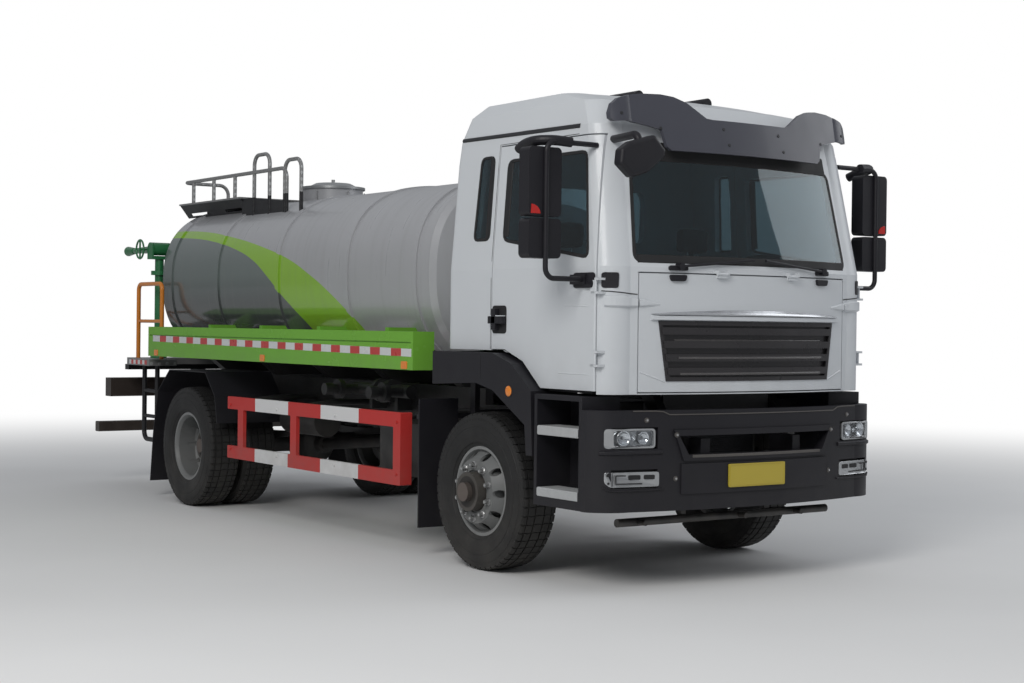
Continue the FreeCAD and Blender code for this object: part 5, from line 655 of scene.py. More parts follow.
turn_about_axis = grow_tree("turn_about_axis", (("Count", "Int"), ("Centre", "Vector"), ("Axis", "Vector")),
                            turned_copies)
step_along_line = grow_tree("step_along_line", (("Count", "Int"), ("Step", "Vector")), stepped_copies)
heads_on_spots = grow_tree("heads_on_spots", (("Sides", "Int"), ("Radius", "Float"), ("Top", "Float"),
                                              ("Height", "Float")), faced_heads)


def bake(name, data, tree, finish, values):
    """Runs a tree on a mesh and returns the plain mesh that comes out."""
    holder = link(name + "_rule", data)
    rule = holder.modifiers.new("rule", "NODES")
    rule.node_group = tree
    values = {**values, "Finish": finishes[finish]}
    for item in tree.interface.items_tree:
        if item.in_out == "INPUT" and item.name in values:
            rule[item.identifier] = values[item.name]
    holder.update_tag()
    result = evaluated_mesh(holder)
    result.name = name
    holder.modifiers.clear()
    bpy.data.objects.remove(holder)
    return result


def around(name, shape, count, centre, finish):
    """Copies of a part turned about the X axis through a centre."""
    return bake(name, mesh_of(name + "_unit", shape), turn_about_axis, finish,
                {"Count": count, "Centre": tuple(centre), "Axis": (1.0, 0.0, 0.0)})


def along(name, shape, count, step, finish):
    return bake(name, mesh_of(name + "_unit", shape), step_along_line, finish, {"Count": count, "Step": step})


def heads(name, spots, radius, height, body, finish, slot_name, sides_round=12):
    """Screw or nut heads: spots are (place, facing) pairs, and a head's foot sits on its place."""
    data = bpy.data.meshes.new(name + "_spots")
    data.from_pydata([tuple(spot) for spot, _ in spots], [], [])
    way = data.attributes.new("facing", "FLOAT_VECTOR", "POINT")
    way.data.foreach_set("vector", [value for _, facing in spots for value in facing])
    values = {"Sides": sides_round, "Radius": radius, "Top": radius * 0.8, "Height": height}
    dress(name, bake(name, data, heads_on_spots, finish, values), body, finish, slot_name)


print("trees", [tree.name for tree in bpy.data.node_groups])

# %% [markdown]
# ## Tyres
# A road tyre is a ring with straight ribs and short shoulder blocks. The carcass is a turned
# profile with grooves, and one pitch of blocks is repeated around it. The walls carry plain
# raised rings and a band of fine ribs near the shoulder, and no lettering.

# %% Tyres
tyre_radius = 0.522
tyre_profile = (
    (-0.1035, 0.2868), (-0.104, 0.2975), (-0.1185, 0.2985), (-0.121, 0.306), (-0.128, 0.318), (-0.134, 0.322),
    (-0.1375, 0.333), (-0.1455, 0.362), (-0.1485, 0.395), (-0.1488, 0.415), (-0.1462, 0.4175), (-0.1462, 0.4245),
    (-0.1478, 0.427), (-0.1462, 0.447), (-0.1405, 0.476), (-0.1375, 0.4785), (-0.1345, 0.488), (-0.128, 0.501),
    (-0.116, 0.5085), (-0.06, 0.5105), (0.0, 0.5112),
)
# across, half width, top radius, share of the pitch, fall of the outer edge
tread_rows = ((-0.1125, 0.017, 0.5170, 0.80, 0.006), (-0.0640, 0.0235, 0.5195, 0.90, 0.0),
              (0.0, 0.0300, 0.5215, 0.90, 0.0), (0.0640, 0.0235, 0.5195, 0.90, 0.0),
              (0.1125, 0.017, 0.5170, 0.80, 0.006))
tread_pitches, carcass_steps, wall_ribs = 54, 90, 90
groove_radius = 0.500


def rolled(centre, x, radius, angle):
    """A point on a wheel about the X axis."""
    return centre + Vector((x, radius * math.sin(angle), radius * math.cos(angle)))


def carcass(centre):
    shape = bmesh.new()
    profile = list(tyre_profile) + [(-x, radius) for x, radius in tyre_profile[-2::-1]]
    angles = [math.tau * step / carcass_steps for step in range(carcass_steps)]
    skin(shape, [[rolled(centre, x, radius, angle) for x, radius in profile] for angle in angles], closed=True)
    return shape


def tread_pitch(centre):
    """The blocks of one pitch: three ribs with a nick each, and two shoulder blocks."""
    shape = bmesh.new()
    arc = math.tau / tread_pitches
    for place, half, top, share, edge_fall in tread_rows:
        skew = (0.004 if place >= 0 else -0.004) / top
        low, high = [], []
        for across, forward in ((-1, -share), (0, -share), (1, -share), (1, share), (0, share), (-1, share)):
            angle = forward * arc / 2 + (skew if across == 0 else 0.0)
            x = place + across * half
            fall = edge_fall if abs(x) > 0.12 else 0.0
            low.append(rolled(centre, x, groove_radius - fall * 2, angle))
            high.append(rolled(centre, x, top - fall, angle))
        skin(shape, (low, high))
    return shape


def wall_rib(centre, side):
    """One short raised rib on the upper wall."""
    shape = bmesh.new()
    add_box(shape, centre + Vector((side * 0.1385, -0.0035, 0.449)), centre + Vector((side * 0.1435, 0.0035, 0.474)))
    return shape


def make_tyres(name, body, node, centres):
    tyres = bmesh.new()
    for centre in centres:
        tyres.from_mesh(mesh_of(name + "_carcass", carcass(centre)))
        tyres.from_mesh(around(name + "_tread", tread_pitch(centre), tread_pitches, centre, "tyre_rubber"))
        for side in (-1.0, 1.0):
            tyres.from_mesh(around(name + "_ribs", wall_rib(centre, side), wall_ribs, centre, "tyre_rubber"))
    mesh_piece(name, tyres, body, "tyre_rubber", "tyre", replaced=(node,))


for side_name, side in sides:
    make_tyres("tread_front_" + side_name, "wheel_front_" + side_name, "tyre_front_" + side_name,
               [at(side * front_wheel_x, 0.0, tyre_radius)])
    make_tyres("treads_rear_" + side_name, "wheels_rear_" + side_name, "tyres_rear_" + side_name,
               [at(side * x, wheelbase, tyre_radius) for x in (rear_outer_x, rear_inner_x)])

# %% [markdown]
# ## Trim that follows the panels
# Small parts have to sit on whatever carries them. A ray from outside feels for the panel
# and gives a place and the way the panel faces there. Strips and plates are then laid on
# such places, sunk a few millimetres into the panel, so that nothing hangs in the air.

# %% Feeling for a surface, and laying parts on it
felt_surfaces = {}
front_start, side_start, tail_start = -2.2, 2.2, 8.5


def surface(name):
    if name not in felt_surfaces:
        data = nodes[name].data
        felt_surfaces[name] = BVHTree.FromPolygons([vertex.co for vertex in data.vertices],
                                                   [tuple(face.vertices) for face in data.polygons])
    return felt_surfaces[name]


def touch(names, start, way):
    """The first place that a ray meets on the named nodes, and the way it faces."""
    found = []
    for name in names.split():
        place, facing, _, distance = surface(name).ray_cast(start, Vector(way))
        if place is not None:
            found.append((distance, place, facing if facing.dot(Vector(way)) < 0 else -facing))
    if not found:
        raise ValueError("nothing to lay on: " + names + str([round(value, 3) for value in start - shift]))
    return min(found, key=lambda item: item[0])[1:]


def on_front(names, x, z):
    return touch(names, at(x, front_start, z), (0, 1, 0))


def on_side(names, side, y, z):
    return touch(names, at(side * side_start, y, z), (-side, 0, 0))


def front_spots(names, line):
    return [on_front(names, x, z) for x, z in line]


def side_spots(names, side, line):
    return [on_side(names, side, y, z) for y, z in line]


def lifted(spots, height):
    return [(place + facing * height, facing) for place, facing in spots]


def lay_strip(shape, spots, width, height, closed=False, taper=0.75):
    """A thin strip along touched spots, a little narrower at its top."""
    rings = []
    count = len(spots)
    for i, (place, facing) in enumerate(spots):
        before = spots[i - 1][0] if closed or i else place
        after = spots[(i + 1) % count][0] if closed or i + 1 < count else place
        across = (after - before).cross(facing).normalized() * width / 2
        foot, crown = place - facing * 0.002, place + facing * height
        rings.append((foot - across, foot + across, crown + across * taper, crown - across * taper))
    skin(shape, rings, closed)


def lay_plate(shape, spots, height, sink=0.003):
    """A plate over a closed outline of touched spots."""
    skin(shape, ([place - facing * sink for place, facing in spots],
                 [place + facing * height for place, facing in spots]))


def between(first, last, steps):
    """Evenly spaced points from one pair to another."""
    return [tuple(a + (b - a) * step / steps for a, b in zip(first, last)) for step in range(steps + 1)]


def level(low, high, other, steps):
    """Evenly spaced points whose second value stays the same."""
    return between((low, other), (high, other), steps)


def dense(points, step=0.08, closed=True):
    """A line of pairs with extra points, so that what is laid on it follows the panel."""
    line = []
    for first, after in zip(points, points[1:] + points[:1] if closed else points[1:]):
        line += between(first, after, max(1, round(math.dist(first, after) / step)))[:-1]
    return line if closed else line + [points[-1]]


def outline_points(corners, radius, steps=3):
    """A closed outline of pairs with rounded corners."""
    points = [Vector((u, v, 0)) for u, v in corners]
    curved = []
    for before, here, after in zip(points[-1:] + points, points, points[1:] + points[:1]):
        back, ahead = before - here, after - here
        curved += eased(here, back, ahead, min(radius, back.length * 0.45, ahead.length * 0.45), steps)
    return [(point.x, point.y) for point in curved]


def rounded_box(low_u, high_u, low_v, high_v, radius, steps=3):
    return outline_points([(low_u, low_v), (high_u, low_v), (high_u, high_v), (low_u, high_v)], radius, steps)


print("surface helpers ready")

# %% [markdown]
# The bonnet flap carries a bright bar shaped like a slim lens, on a painted ledge above the
# grille. Below it the panel turns in along a soft crease. Raised fins run from the door
# seam to the flap on both sides.

# %% Front panel
def bright_bar(half=0.79, foot=1.690, thin=0.007, thick=0.036, steps=40):
    """A slim lens-shaped bar, deepest at the middle."""
    shape, rings = bmesh.new(), []
    for step in range(steps + 1):
        x = -half + 2 * half * step / steps
        rise = thin + (thick - thin) * (1 - (x / half) ** 2)
        place, facing = on_front("front_flap", x, foot)
        ends = 1.0 if 0 < step < steps else 0.45
        section = ((-0.003, 0.0), (0.026 * ends, 0.0), (0.030 * ends, rise * 0.18), (0.024 * ends, rise * 0.55),
                   (0.010 * ends, rise), (-0.003, rise))
        rings.append([place + facing * out + Vector((0, 0, up)) for out, up in section])
    skin(shape, rings)
    mesh_piece("bright_bar", shape, "front_flap", "silver_trim", "alloy", bevel=0.0015)


def flap_ledge():
    """Painted ledge under the bright bar and the soft creases beside the grille."""
    shape = bmesh.new()
    lay_strip(shape, front_spots("front_flap", level(-0.795, 0.795, 1.6735, 36)), 0.032, 0.020, taper=0.82)
    for side in (-1.0, 1.0):
        crease = between((side * 0.862, 1.342), (side * 0.700, 1.284), 6)
        lay_strip(shape, front_spots("front_flap", crease), 0.016, 0.004, taper=0.3)
    mesh_piece("flap_ledge", shape, "front_flap", "white_paint", "cab_paint", bevel=0.002)


def front_fin(name, node, body, side, low_x, high_x):
    """A fin that grows taller and prouder from the flap's middle outwards."""
    shape, rings = bmesh.new(), []
    for x, _ in level(low_x, high_x, 0.0, 8):
        run = (x - 0.735) / 0.365
        top = 1.764 + 0.040 * min(run * 1.5, 1.0)
        foot = 1.745 - 0.012 * min(run * 2, 1.0)
        proud = 0.004 + 0.014 * min(run * 3, 1.0)
        spots = front_spots(node, [(side * x, z) for z in (top, top - 0.006, foot + 0.010, foot)])
        spots += [spots[3], spots[0]]
        rings.append([place + facing * out for (place, facing), out in
                      zip(spots, (0.001, proud, proud, 0.001, -0.003, -0.003))])
    skin(shape, rings)
    mesh_piece(name, shape, body, "white_paint", "cab_paint", bevel=0.0015)


bright_bar()
flap_ledge()
for side_name, side in sides:
    front_fin("fin_corner_" + side_name, "cab_shell", "cab", side, 0.886, 1.085)
    front_fin("fin_flap_" + side_name, "front_flap", "front_flap", side, 0.735, 0.872)

# %% [markdown]
# Rubber runs round the windscreen, wider along its foot, where the wipers lie, and a black
# band fills the space under the visor: the screen's dark top edge together with painted shade
# cast by the visor. Two black covers sit under the screen over the hinges. The seam under
# each mirror base is a narrow dark line.
# hinges. The seam under each mirror base is a narrow dark line.

# %% Windscreen rubber, hinge covers and seams
def screen_rubber_and_visor_shade():
    shape = bmesh.new()
    corners = [(-0.900, 2.016), (-0.846, 2.650), (0.846, 2.650), (0.900, 2.016)]
    line = dense(outline_points(corners, 0.055, 5), 0.06)
    lay_strip(shape, front_spots("cab_shell windshield", line), 0.026, 0.003, closed=True)
    lay_strip(shape, front_spots("cab_shell windshield", level(-0.88, 0.88, 2.030, 30)), 0.056, 0.004)
    # The wide band under the visor stands for the screen's dark top edge and for painted shade cast by the visor.
    lay_strip(shape, front_spots("cab_shell", level(-0.82, 0.82, 2.704, 24)), 0.122, 0.003)
    mesh_piece("screen_rubber_and_visor_shade", shape, "cab", "rubber_seal", "black_plastic")


def hinge_covers(name, names, body, low, high, narrow, wide):
    shape = bmesh.new()
    for middle in (-0.615, 0.615):
        corners = [(middle - narrow, low), (middle + narrow, low), (middle + wide, high), (middle - wide, high)]
        lay_plate(shape, front_spots(names, outline_points(corners, 0.014)), 0.018)
    mesh_piece(name, shape, body, "black_plastic", "black_plastic", bevel=0.003)


screen_rubber_and_visor_shade()
hinge_covers("hinge_cover_low", "front_flap", "front_flap", 1.897, 1.936, 0.050, 0.062)
hinge_covers("hinge_cover_high", "cab_shell windshield", "cab", 1.962, 1.990, 0.066, 0.066)
for side_name, side in sides:
    seam = bmesh.new()
    seam_line = [(side * x, z) for x, z in between((0.884, 1.812), (1.098, 1.830), 8)]
    lay_strip(seam, front_spots("cab_shell", seam_line), 0.006, 0.0020, taper=1.0)
    mesh_piece("corner_seam_" + side_name, seam, "cab", "rubber_seal", "black_plastic")
print("screen rubber and covers laid")

# %% [markdown]
# The bars of the grille catch the light on their edges. Slim crowned strips give three of
# them a brighter line: their crowns are real, and their lighter grey is a painted highlight.

# %% Grille detail
def grille_detail():
    shape = bmesh.new()
    for z in (1.536, 1.428, 1.330):
        half = 0.60 + (z - 1.33) * 0.12
        lay_strip(shape, front_spots("grille", level(-half, half, z, 24)), 0.018, 0.006, taper=0.55)
    # The strips' grey, lighter than the grille's, is a painted highlight along the bars' crowns.
    mesh_piece("grille_highlight_crests", shape, "front_flap", "crest_grey", "grille_plastic", bevel=0.002)


grille_detail()

# %% [markdown]
# Headlamps and lower lamps are silver housings with reflector cups, bulbs and small dark
# parts behind clear lenses. The lamp boxes of the construction model are the clear covers'
# outlines, so they are replaced by a dish, the cups and a thin glass in front.

# %% Lamps
lamp_names = "front_bumper front_lamps"


def lay_tray(shape, outer, inner, proud, depth, wall=0.003):
    """A tray set into a pocket: outer and inner outlines have the same number of points."""
    outside, inside = front_spots(lamp_names, outer), front_spots(lamp_names, inner)
    skin(shape, [[place + facing * out for place, facing in spots] for spots, out in (
        (inside, -depth - wall), (outside, -wall), (outside, proud), (inside, proud), (inside, -depth))])


def add_bowl(shape, centre, facing, radius, depth, segments=20):
    """A reflector cup: a thin shell of revolution that is open towards the front."""
    profile = [(1.0, 0.0), (0.86, -0.42), (0.62, -0.75), (0.34, -0.93), (0.10, -1.0)]
    profile += [(share + 0.04, level - 0.10) for share, level in reversed(profile)]
    revolve(shape, centre, facing, [(radius * share, depth * level) for share, level in profile], segments)


def headlamps():
    dish, cups, lenses, bulbs = bmesh.new(), bmesh.new(), bmesh.new(), bmesh.new()
    for side in (-1.0, 1.0):
        lay_tray(dish, rounded_box(side * 1.128, side * 0.800, 0.885, 1.003, 0.022),
                 rounded_box(side * 1.078, side * 0.812, 0.897, 0.992, 0.018), 0.005, 0.027)
        for x, radius in ((1.012, 0.046), (0.878, 0.038)):
            place, facing = on_front("front_lamps", side * x, 0.946)
            add_bowl(cups, place - facing * 0.001, facing, radius, 0.022)
            add_rod(bulbs, place - facing * 0.022, place - facing * 0.004, 0.008, 12, 0.006)
        place, facing = on_front("front_lamps", side * 0.946, 0.946)
        add_bowl(cups, place - facing * 0.002, facing, 0.016, 0.016, 12)
        cover = rounded_box(side * 1.076, side * 0.814, 0.899, 0.990, 0.018)
        lay_plate(lenses, front_spots("front_lamps", cover), 0.004, -0.001)
    mesh_piece("lamp_dishes", dish, "chassis", "lamp_silver", "lamp_clear", replaced=("front_lamps",))
    mesh_piece("lamp_cups", cups, "chassis", "reflector_cup", "lamp_clear", smooth=True)
    mesh_piece("lamp_bulbs", bulbs, "chassis", "bright_steel", "alloy")
    mesh_piece("lamp_lenses", lenses, "chassis", "lens_clear", "lamp_clear")


def lower_lamps():
    plate, dark, screws = bmesh.new(), bmesh.new(), []
    for side in (-1.0, 1.0):
        corners = [(side * 0.772, 0.652), (side * 1.096, 0.652), (side * 1.126, 0.680), (side * 1.126, 0.742),
                   (side * 0.772, 0.742)]
        lay_plate(plate, front_spots(lamp_names, outline_points(corners, 0.016)), 0.006, 0.02)
        for high_x, low_x in ((0.975, 0.898), (0.873, 0.802)):
            spots = front_spots(lamp_names, rounded_box(side * high_x, side * low_x, 0.697, 0.724, 0.008))
            lay_plate(dark, spots, 0.0075)
        path = level(1.0, 1.063, 0.722, 3) + between((1.063, 0.718), (1.063, 0.676), 3)[:-1]
        path += between((1.063, 0.674), (0.886, 0.672), 6)
        edge = between((1.083, 0.658), (1.083, 0.736), 5)
        for line, width, height in ((path, 0.007, 0.003), (edge, 0.003, 0.002)):
            spots = front_spots(lamp_names, [(side * x, z) for x, z in line])
            lay_strip(dark, lifted(spots, 0.005), width, height, taper=0.9)
        screws += lifted(front_spots(lamp_names, [(side * 1.108, 0.724), (side * 1.104, 0.677)]), 0.004)
    mesh_piece("lower_lamp_plates", plate, "chassis", "lamp_silver", "lamp_clear", bevel=0.002)
    mesh_piece("lower_lamp_marks", dark, "chassis", "rubber_seal", "black_plastic")
    heads("lower_lamp_screws", screws, 0.008, 0.005, "chassis", "rubber_seal", "black_plastic")


headlamps()
lower_lamps()

# %% [markdown]
# The bumper is textured black plastic. Ledges run under both lamps, dust lies on its top
# edge and on the lip of the intake, fixings sit in its face, and the yellow plate is blank.

# %% Bumper detail
def bumper_detail():
    ledge, dust, washers, fixings = bmesh.new(), bmesh.new(), bmesh.new(), []
    for side in (-1.0, 1.0):
        top = between((0.752, 0.861), (1.150, 0.858), 14)
        lip = [(0.742, 0.636), (0.85, 0.632), (0.95, 0.630), (1.05, 0.629), (1.105, 0.634), (1.132, 0.652)]
        for line, width, height, taper in ((top, 0.034, 0.012, 0.5), (lip, 0.014, 0.010, 0.6)):
            spots = front_spots("front_bumper", [(side * x, z) for x, z in line])
            lay_strip(ledge, spots, width, height, taper=taper)
        rise = between((side * 0.70, 1.085), (side * 0.745, 1.104), 3) + [(side * 0.80, 1.108), (side * 0.95, 1.108)]
        lay_strip(dust, front_spots("front_bumper", rise), 0.008, 0.004)
        for x, z in ((0.660, 0.962), (0.655, 0.695), (0.858, 1.053)):
            place, facing = on_front("front_bumper", side * x, z)
            fixings.append((place + facing * 0.001, facing))
            add_rod(washers, place - facing * 0.002, place + facing * 0.0025, 0.016, 18)
    lay_strip(dust, front_spots("front_bumper", level(-0.70, 0.70, 1.085, 30)), 0.008, 0.004)
    lay_strip(dust, front_spots("front_bumper", level(-0.545, 0.545, 0.829, 26)), 0.020, 0.002)
    mesh_piece("bumper_ledges", ledge, "chassis", "black_plastic", "black_plastic", bevel=0.003)
    mesh_piece("bumper_dust_edges", dust, "chassis", "dusty_plastic", "black_plastic", bevel=0.001)
    mesh_piece("bumper_washers", washers, "chassis", "dusty_plastic", "black_plastic")
    heads("bumper_fixings", fixings, 0.009, 0.009, "chassis", "bright_steel", "alloy", 6)


def front_plate():
    shape = bmesh.new()
    lay_plate(shape, front_spots("front_bumper", rounded_box(-0.270, 0.200, 0.630, 0.774, 0.010)), 0.012)
    rim = front_spots("front_bumper", rounded_box(-0.262, 0.192, 0.638, 0.766, 0.008))
    lay_strip(shape, lifted(rim, 0.011), 0.003, 0.0025, closed=True)
    mesh_piece("blank_plate", shape, "chassis", "plate_yellow", "beam_paint")


bumper_detail()
front_plate()
print("bumper dressed")

# %% [markdown]
# ## The cab's sides
# Black rubber runs round each side window, with a broad upright bar where the glass meets
# the pillar. A dark drip rail lies under the roof, dark lines show round the doors, and the
# handle is a black cup with a cross bar and an upright grip. A curved black hood covers the
# upper arm of each door mirror.

# %% Side windows, rails, handles and mirrors
def side_strip(name, felt, side, lines, body, finish, slot_name, bevel=0.0):
    """One piece from strips on a side; each line has its width, its height and more options."""
    shape = bmesh.new()
    for line, *form in lines:
        lay_strip(shape, side_spots(felt, side, line), *form)
    mesh_piece(name, shape, body, finish, slot_name, bevel=bevel)


def upright(y, low_z, high_z, steps):
    return between((y, low_z), (y, high_z), steps)


def dress_side(side_name, side):
    door, shell = "door_" + side_name, "cab_shell"
    window = outline_points([(-1.082, 2.034), (-0.168, 2.171), (-0.168, 2.687), (-0.998, 2.687)], 0.05)
    side_strip("door_rubber_" + side_name, door + " door_glass_" + side_name, side,
               ((dense(window), 0.024, 0.004, True), (upright(-0.196, 2.19, 2.672, 6), 0.052, 0.004)),
               door, "rubber_seal", "black_plastic")
    quarter = outline_points([(0.001, 2.180), (0.177, 2.180), (0.148, 2.726), (0.001, 2.726)], 0.04)
    side_strip("quarter_rubber_" + side_name, "cab_shell cab_windows", side,
               ((dense(quarter), 0.022, 0.004, True), (upright(0.024, 2.19, 2.715, 6), 0.044, 0.004)),
               "cab", "rubber_seal", "black_plastic")
    side_strip("drip_rail_" + side_name, shell, side,
               ((between((0.405, 2.868), (-0.905, 2.853), 20), 0.030, 0.010, False, 0.6),),
               "cab", "trim_dark", "black_plastic", 0.002)
    cup, grip = bmesh.new(), bmesh.new()
    lay_plate(cup, side_spots(door, side, rounded_box(-0.232, -0.072, 1.562, 1.744, 0.028, 4)), 0.003)
    mesh_piece("handle_cup_" + side_name, cup, door, "rubber_seal", "black_plastic")
    for low_y, high_y, low_z, high_z in ((-0.228, -0.068, 1.626, 1.674), (-0.152, -0.106, 1.586, 1.724)):
        add_box(grip, at(side * 1.112, low_y, low_z), at(side * 1.158, high_y, high_z))
    mesh_piece("handle_grip_" + side_name, grip, door, "black_plastic", "black_plastic", bevel=0.003)
    side_strip("door_creases_" + side_name, door, side,
               [(between(first, last, 4), 0.014, 0.0022, False, 0.25)
                for first, last in (((-0.86, 1.742), (-1.160, 1.735)), ((-0.80, 1.324), (-1.160, 1.322)))],
               door, "white_paint", "cab_paint")
    rear_seam = dense([(-0.050, 1.460), (-0.050, 2.802), (-1.04, 2.802)], 0.15, closed=False)
    side_strip("door_seam_" + side_name, shell, side, ((rear_seam, 0.004, 0.0008, False, 1.0),),
               "cab", "rubber_seal", "black_plastic")
    foot, cover = bmesh.new(), bmesh.new()
    lay_plate(foot, side_spots(door, side, rounded_box(-1.160, -0.950, 1.848, 1.942, 0.022)), 0.008)
    mesh_piece("mirror_foot_" + side_name, foot, door, "black_plastic", "black_plastic", bevel=0.003)
    corners = [(side * 1.098, 1.848), (side * 1.018, 1.848), (side * 1.014, 1.942), (side * 1.098, 1.942)]
    lay_plate(cover, front_spots(shell, outline_points(corners, 0.014)), 0.008)
    mesh_piece("mirror_foot_cover_" + side_name, cover, "cab", "black_plastic", "black_plastic", bevel=0.003)


def mirror_parts(side_name, side):
    """Glass on the rear faces of both heads, the red marker at the outer corner, and the hood."""
    name, door = "mirror_" + side_name, "door_" + side_name
    glass, marker = bmesh.new(), bmesh.new()
    for low_z, high_z in ((2.300, 2.650), (2.055, 2.232)):
        corners = rounded_box(side * 1.325, side * 1.515, low_z, high_z, 0.025)
        lay_plate(glass, [touch(name, at(x, 0.4, z), (0, -1, 0)) for x, z in corners], 0.002)
    mesh_piece("mirror_glass_" + side_name, glass, door, "mirror_face", "glass_tint")
    corners = [(side * (1.456 + 0.070 * (1 - math.cos(angle))), 2.284 + 0.056 * math.sin(angle))
               for angle in (0.0, 0.3, 0.6, 0.9, 1.2, 1.5)] + [(side * 1.526, 2.284)]
    lay_plate(marker, front_spots(name, corners), 0.004)
    mesh_piece("mirror_marker_" + side_name, marker, door, "lamp_red", "lamp_red", bevel=0.001)
    path = [at(side * x, y, z) for x, y, z in ((1.245, -1.072, 2.722), (1.36, -1.050, 2.730), (1.44, -0.975, 2.728),
                                               (1.44, -0.860, 2.716), (1.43, -0.790, 2.690))]
    hood = tube_mesh("mirror_hood_" + side_name, path, 0.031, 0.07)
    dress("mirror_hood_" + side_name, hood, door, "black_plastic", "black_plastic")


for side_name, side in sides:
    dress_side(side_name, side)
    mirror_parts(side_name, side)
print("cab sides dressed")

# %% [markdown]
# The wing has a joint line behind its crown and a round amber lamp. The step wells have
# ribbed aluminium treads.

# %% Wings and steps
def wing_and_steps(side_name, side):
    ring, lens = bmesh.new(), bmesh.new()
    side_strip("wing_joint_" + side_name, "front_fenders", side,
               ((upright(-0.052, 1.262, 1.420, 3), 0.006, 0.001, False, 1.0),),
               "chassis", "rubber_seal", "black_plastic")
    place, facing = on_side("front_fenders", side, -0.382, 1.196)
    angles = [math.tau * part / 6 for part in range(6)]
    revolve(ring, place, facing, [(0.036 + 0.004 * math.cos(angle), 0.004 * math.sin(angle)) for angle in angles], 28)
    mesh_piece("side_lamp_ring_" + side_name, ring, "chassis", "rubber_seal", "black_plastic")
    for start, end, first, last in ((-0.002, 0.006, 0.034, 0.033), (0.006, 0.011, 0.033, 0.022),
                                    (0.011, 0.013, 0.022, 0.008)):
        add_rod(lens, place + facing * start, place + facing * end, first, 24, last)
    mesh_piece("side_lamp_" + side_name, lens, "chassis", "lamp_amber", "lamp_red")
    for low_z, high_z, step_name in ((0.938, 0.997, "upper_"), (0.556, 0.612, "lower_")):
        tread, rib = bmesh.new(), bmesh.new()
        add_box(tread, at(side * 1.1975, -1.104, low_z), at(side * 1.030, -0.694, high_z))
        mesh_piece("tread_" + step_name + side_name, tread, "chassis", "tread_alloy", "alloy", bevel=0.004)
        add_box(rib, at(side * 1.197, -1.098, low_z + 0.006), at(side * 1.1995, -1.092, high_z - 0.006))
        ribs = along("tread_ribs", rib, 30, (0.0, 0.0137, 0.0), "tread_alloy")
        dress("tread_ribs_" + step_name + side_name, ribs, "chassis", "tread_alloy", "alloy")


for side_name, side in sides:
    wing_and_steps(side_name, side)
print("wings and steps dressed")

# %% [markdown]
# Each wheel carries ten nuts on its studs. They are hexagons with a washer and the stud's
# domed end.

# %% Wheel nuts
stud_radius, front_disc_face, rear_disc_face = 0.176, 0.164, -0.152


def nuts_for(name, body, centre, side, face):
    """Nuts round a wheel's axis at a face that stands so far out from the wheel's middle."""
    unit = bmesh.new()
    start = centre + Vector((side * face, 0, stud_radius))
    for low, high, radius, count, end in ((0.0, 0.005, 0.023, 16, None), (0.005, 0.026, 0.0185, 6, 0.017),
                                          (0.026, 0.038, 0.011, 10, 0.008)):
        add_rod(unit, start + Vector((side * low, 0, 0)), start + Vector((side * high, 0, 0)), radius, count, end)
    dress(name, around(name, unit, 10, centre, "bright_steel"), body, "bright_steel", "rim_steel")


for side_name, side in sides:
    nuts_for("front_nuts_" + side_name, "wheel_front_" + side_name, at(side * front_wheel_x, 0.0, tyre_radius), side,
             front_disc_face)
    nuts_for("rear_nuts_" + side_name, "wheels_rear_" + side_name, at(side * rear_outer_x, wheelbase, tyre_radius),
             side, rear_disc_face)

# %% [markdown]
# ## Skirts, guards and tank
# A band of red and white reflective tape runs along each skirt above its lower half, and
# three amber markers hang at its lower edge. The guards carry bolts at their posts.

# %% Tape, markers and guard bolts
tape_start, tape_z, tape_slope = 0.775, 1.4165, 0.00942
red_first, red_last, red_count, red_half = 0.980, 5.062, 15, 0.068


def skirt_parts(side_name, side):
    tape = between((tape_start, tape_z), (5.290, 1.4590), 30)
    side_strip("tape_white_" + side_name, "skirts", side, ((tape, 0.056, 0.0012, False, 0.98),),
               "chassis", "tape_white", "skirt_paint")
    reds = []
    for number in range(red_count):
        y = red_first + number * (red_last - red_first) / (red_count - 1)
        z = tape_z + (y - tape_start) * tape_slope
        reds.append(([(y - red_half, z), (y, z), (y + red_half, z)], 0.055, 0.0022, False, 0.98))
    side_strip("tape_red_" + side_name, "skirts", side, reds, "chassis", "tape_red", "skirt_paint")
    lamps = bmesh.new()
    for y in (0.868, 3.065, 5.215):
        lay_plate(lamps, side_spots("skirts", side, rounded_box(y - 0.040, y + 0.040, 1.302, 1.356, 0.010)), 0.006)
    mesh_piece("markers_" + side_name, lamps, "chassis", "lamp_amber", "lamp_red", bevel=0.002)
    bolts = side_spots("side_guards", side, [(y, z) for y in (0.96, 1.85, 2.80, 3.64) for z in (0.555, 0.925)])
    bolts = [(place, facing) for place, facing in bolts if abs(place.x) > 1.1]
    heads("guard_bolts_" + side_name, bolts, 0.011, 0.009, "chassis", "guard_bands", "guard_paint", 6)


for side_name, side in sides:
    skirt_parts(side_name, side)
print("tape and markers laid")

# %% [markdown]
# The visor is held by dark screws.

# %% Visor screws
screw_spots = ((-0.946, 2.914), (-0.223, 2.856), (-0.192, 2.759), (0.247, 2.851), (0.280, 2.748), (0.688, 2.835),
               (0.946, 2.914), (-0.688, 2.835))
heads("visor_screws", front_spots("sun_visor", screw_spots), 0.011, 0.004, "cab", "trim_dark", "visor_plastic")
print("visor screws", len(screw_spots))

# %% [markdown]
# Bolt heads along the frame rails, the radiator behind the grille and black shields beside
# it close the view under the cab. The radiator is a finned core between two tanks.

# %% Chassis bolts and radiator
def chassis_bolts():
    low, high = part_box("frame_rails")
    spots = []
    for side in (-1.0, 1.0):
        y = low.y - shift.y + 0.45
        while y < high.y - shift.y - 0.3:
            spots += side_spots("frame_rails", side, [(y, 0.86), (y, 0.98)])
            y += 0.42
    heads("rail_bolts", spots, 0.012, 0.010, "chassis", "cast_black", "chassis_paint", 6)


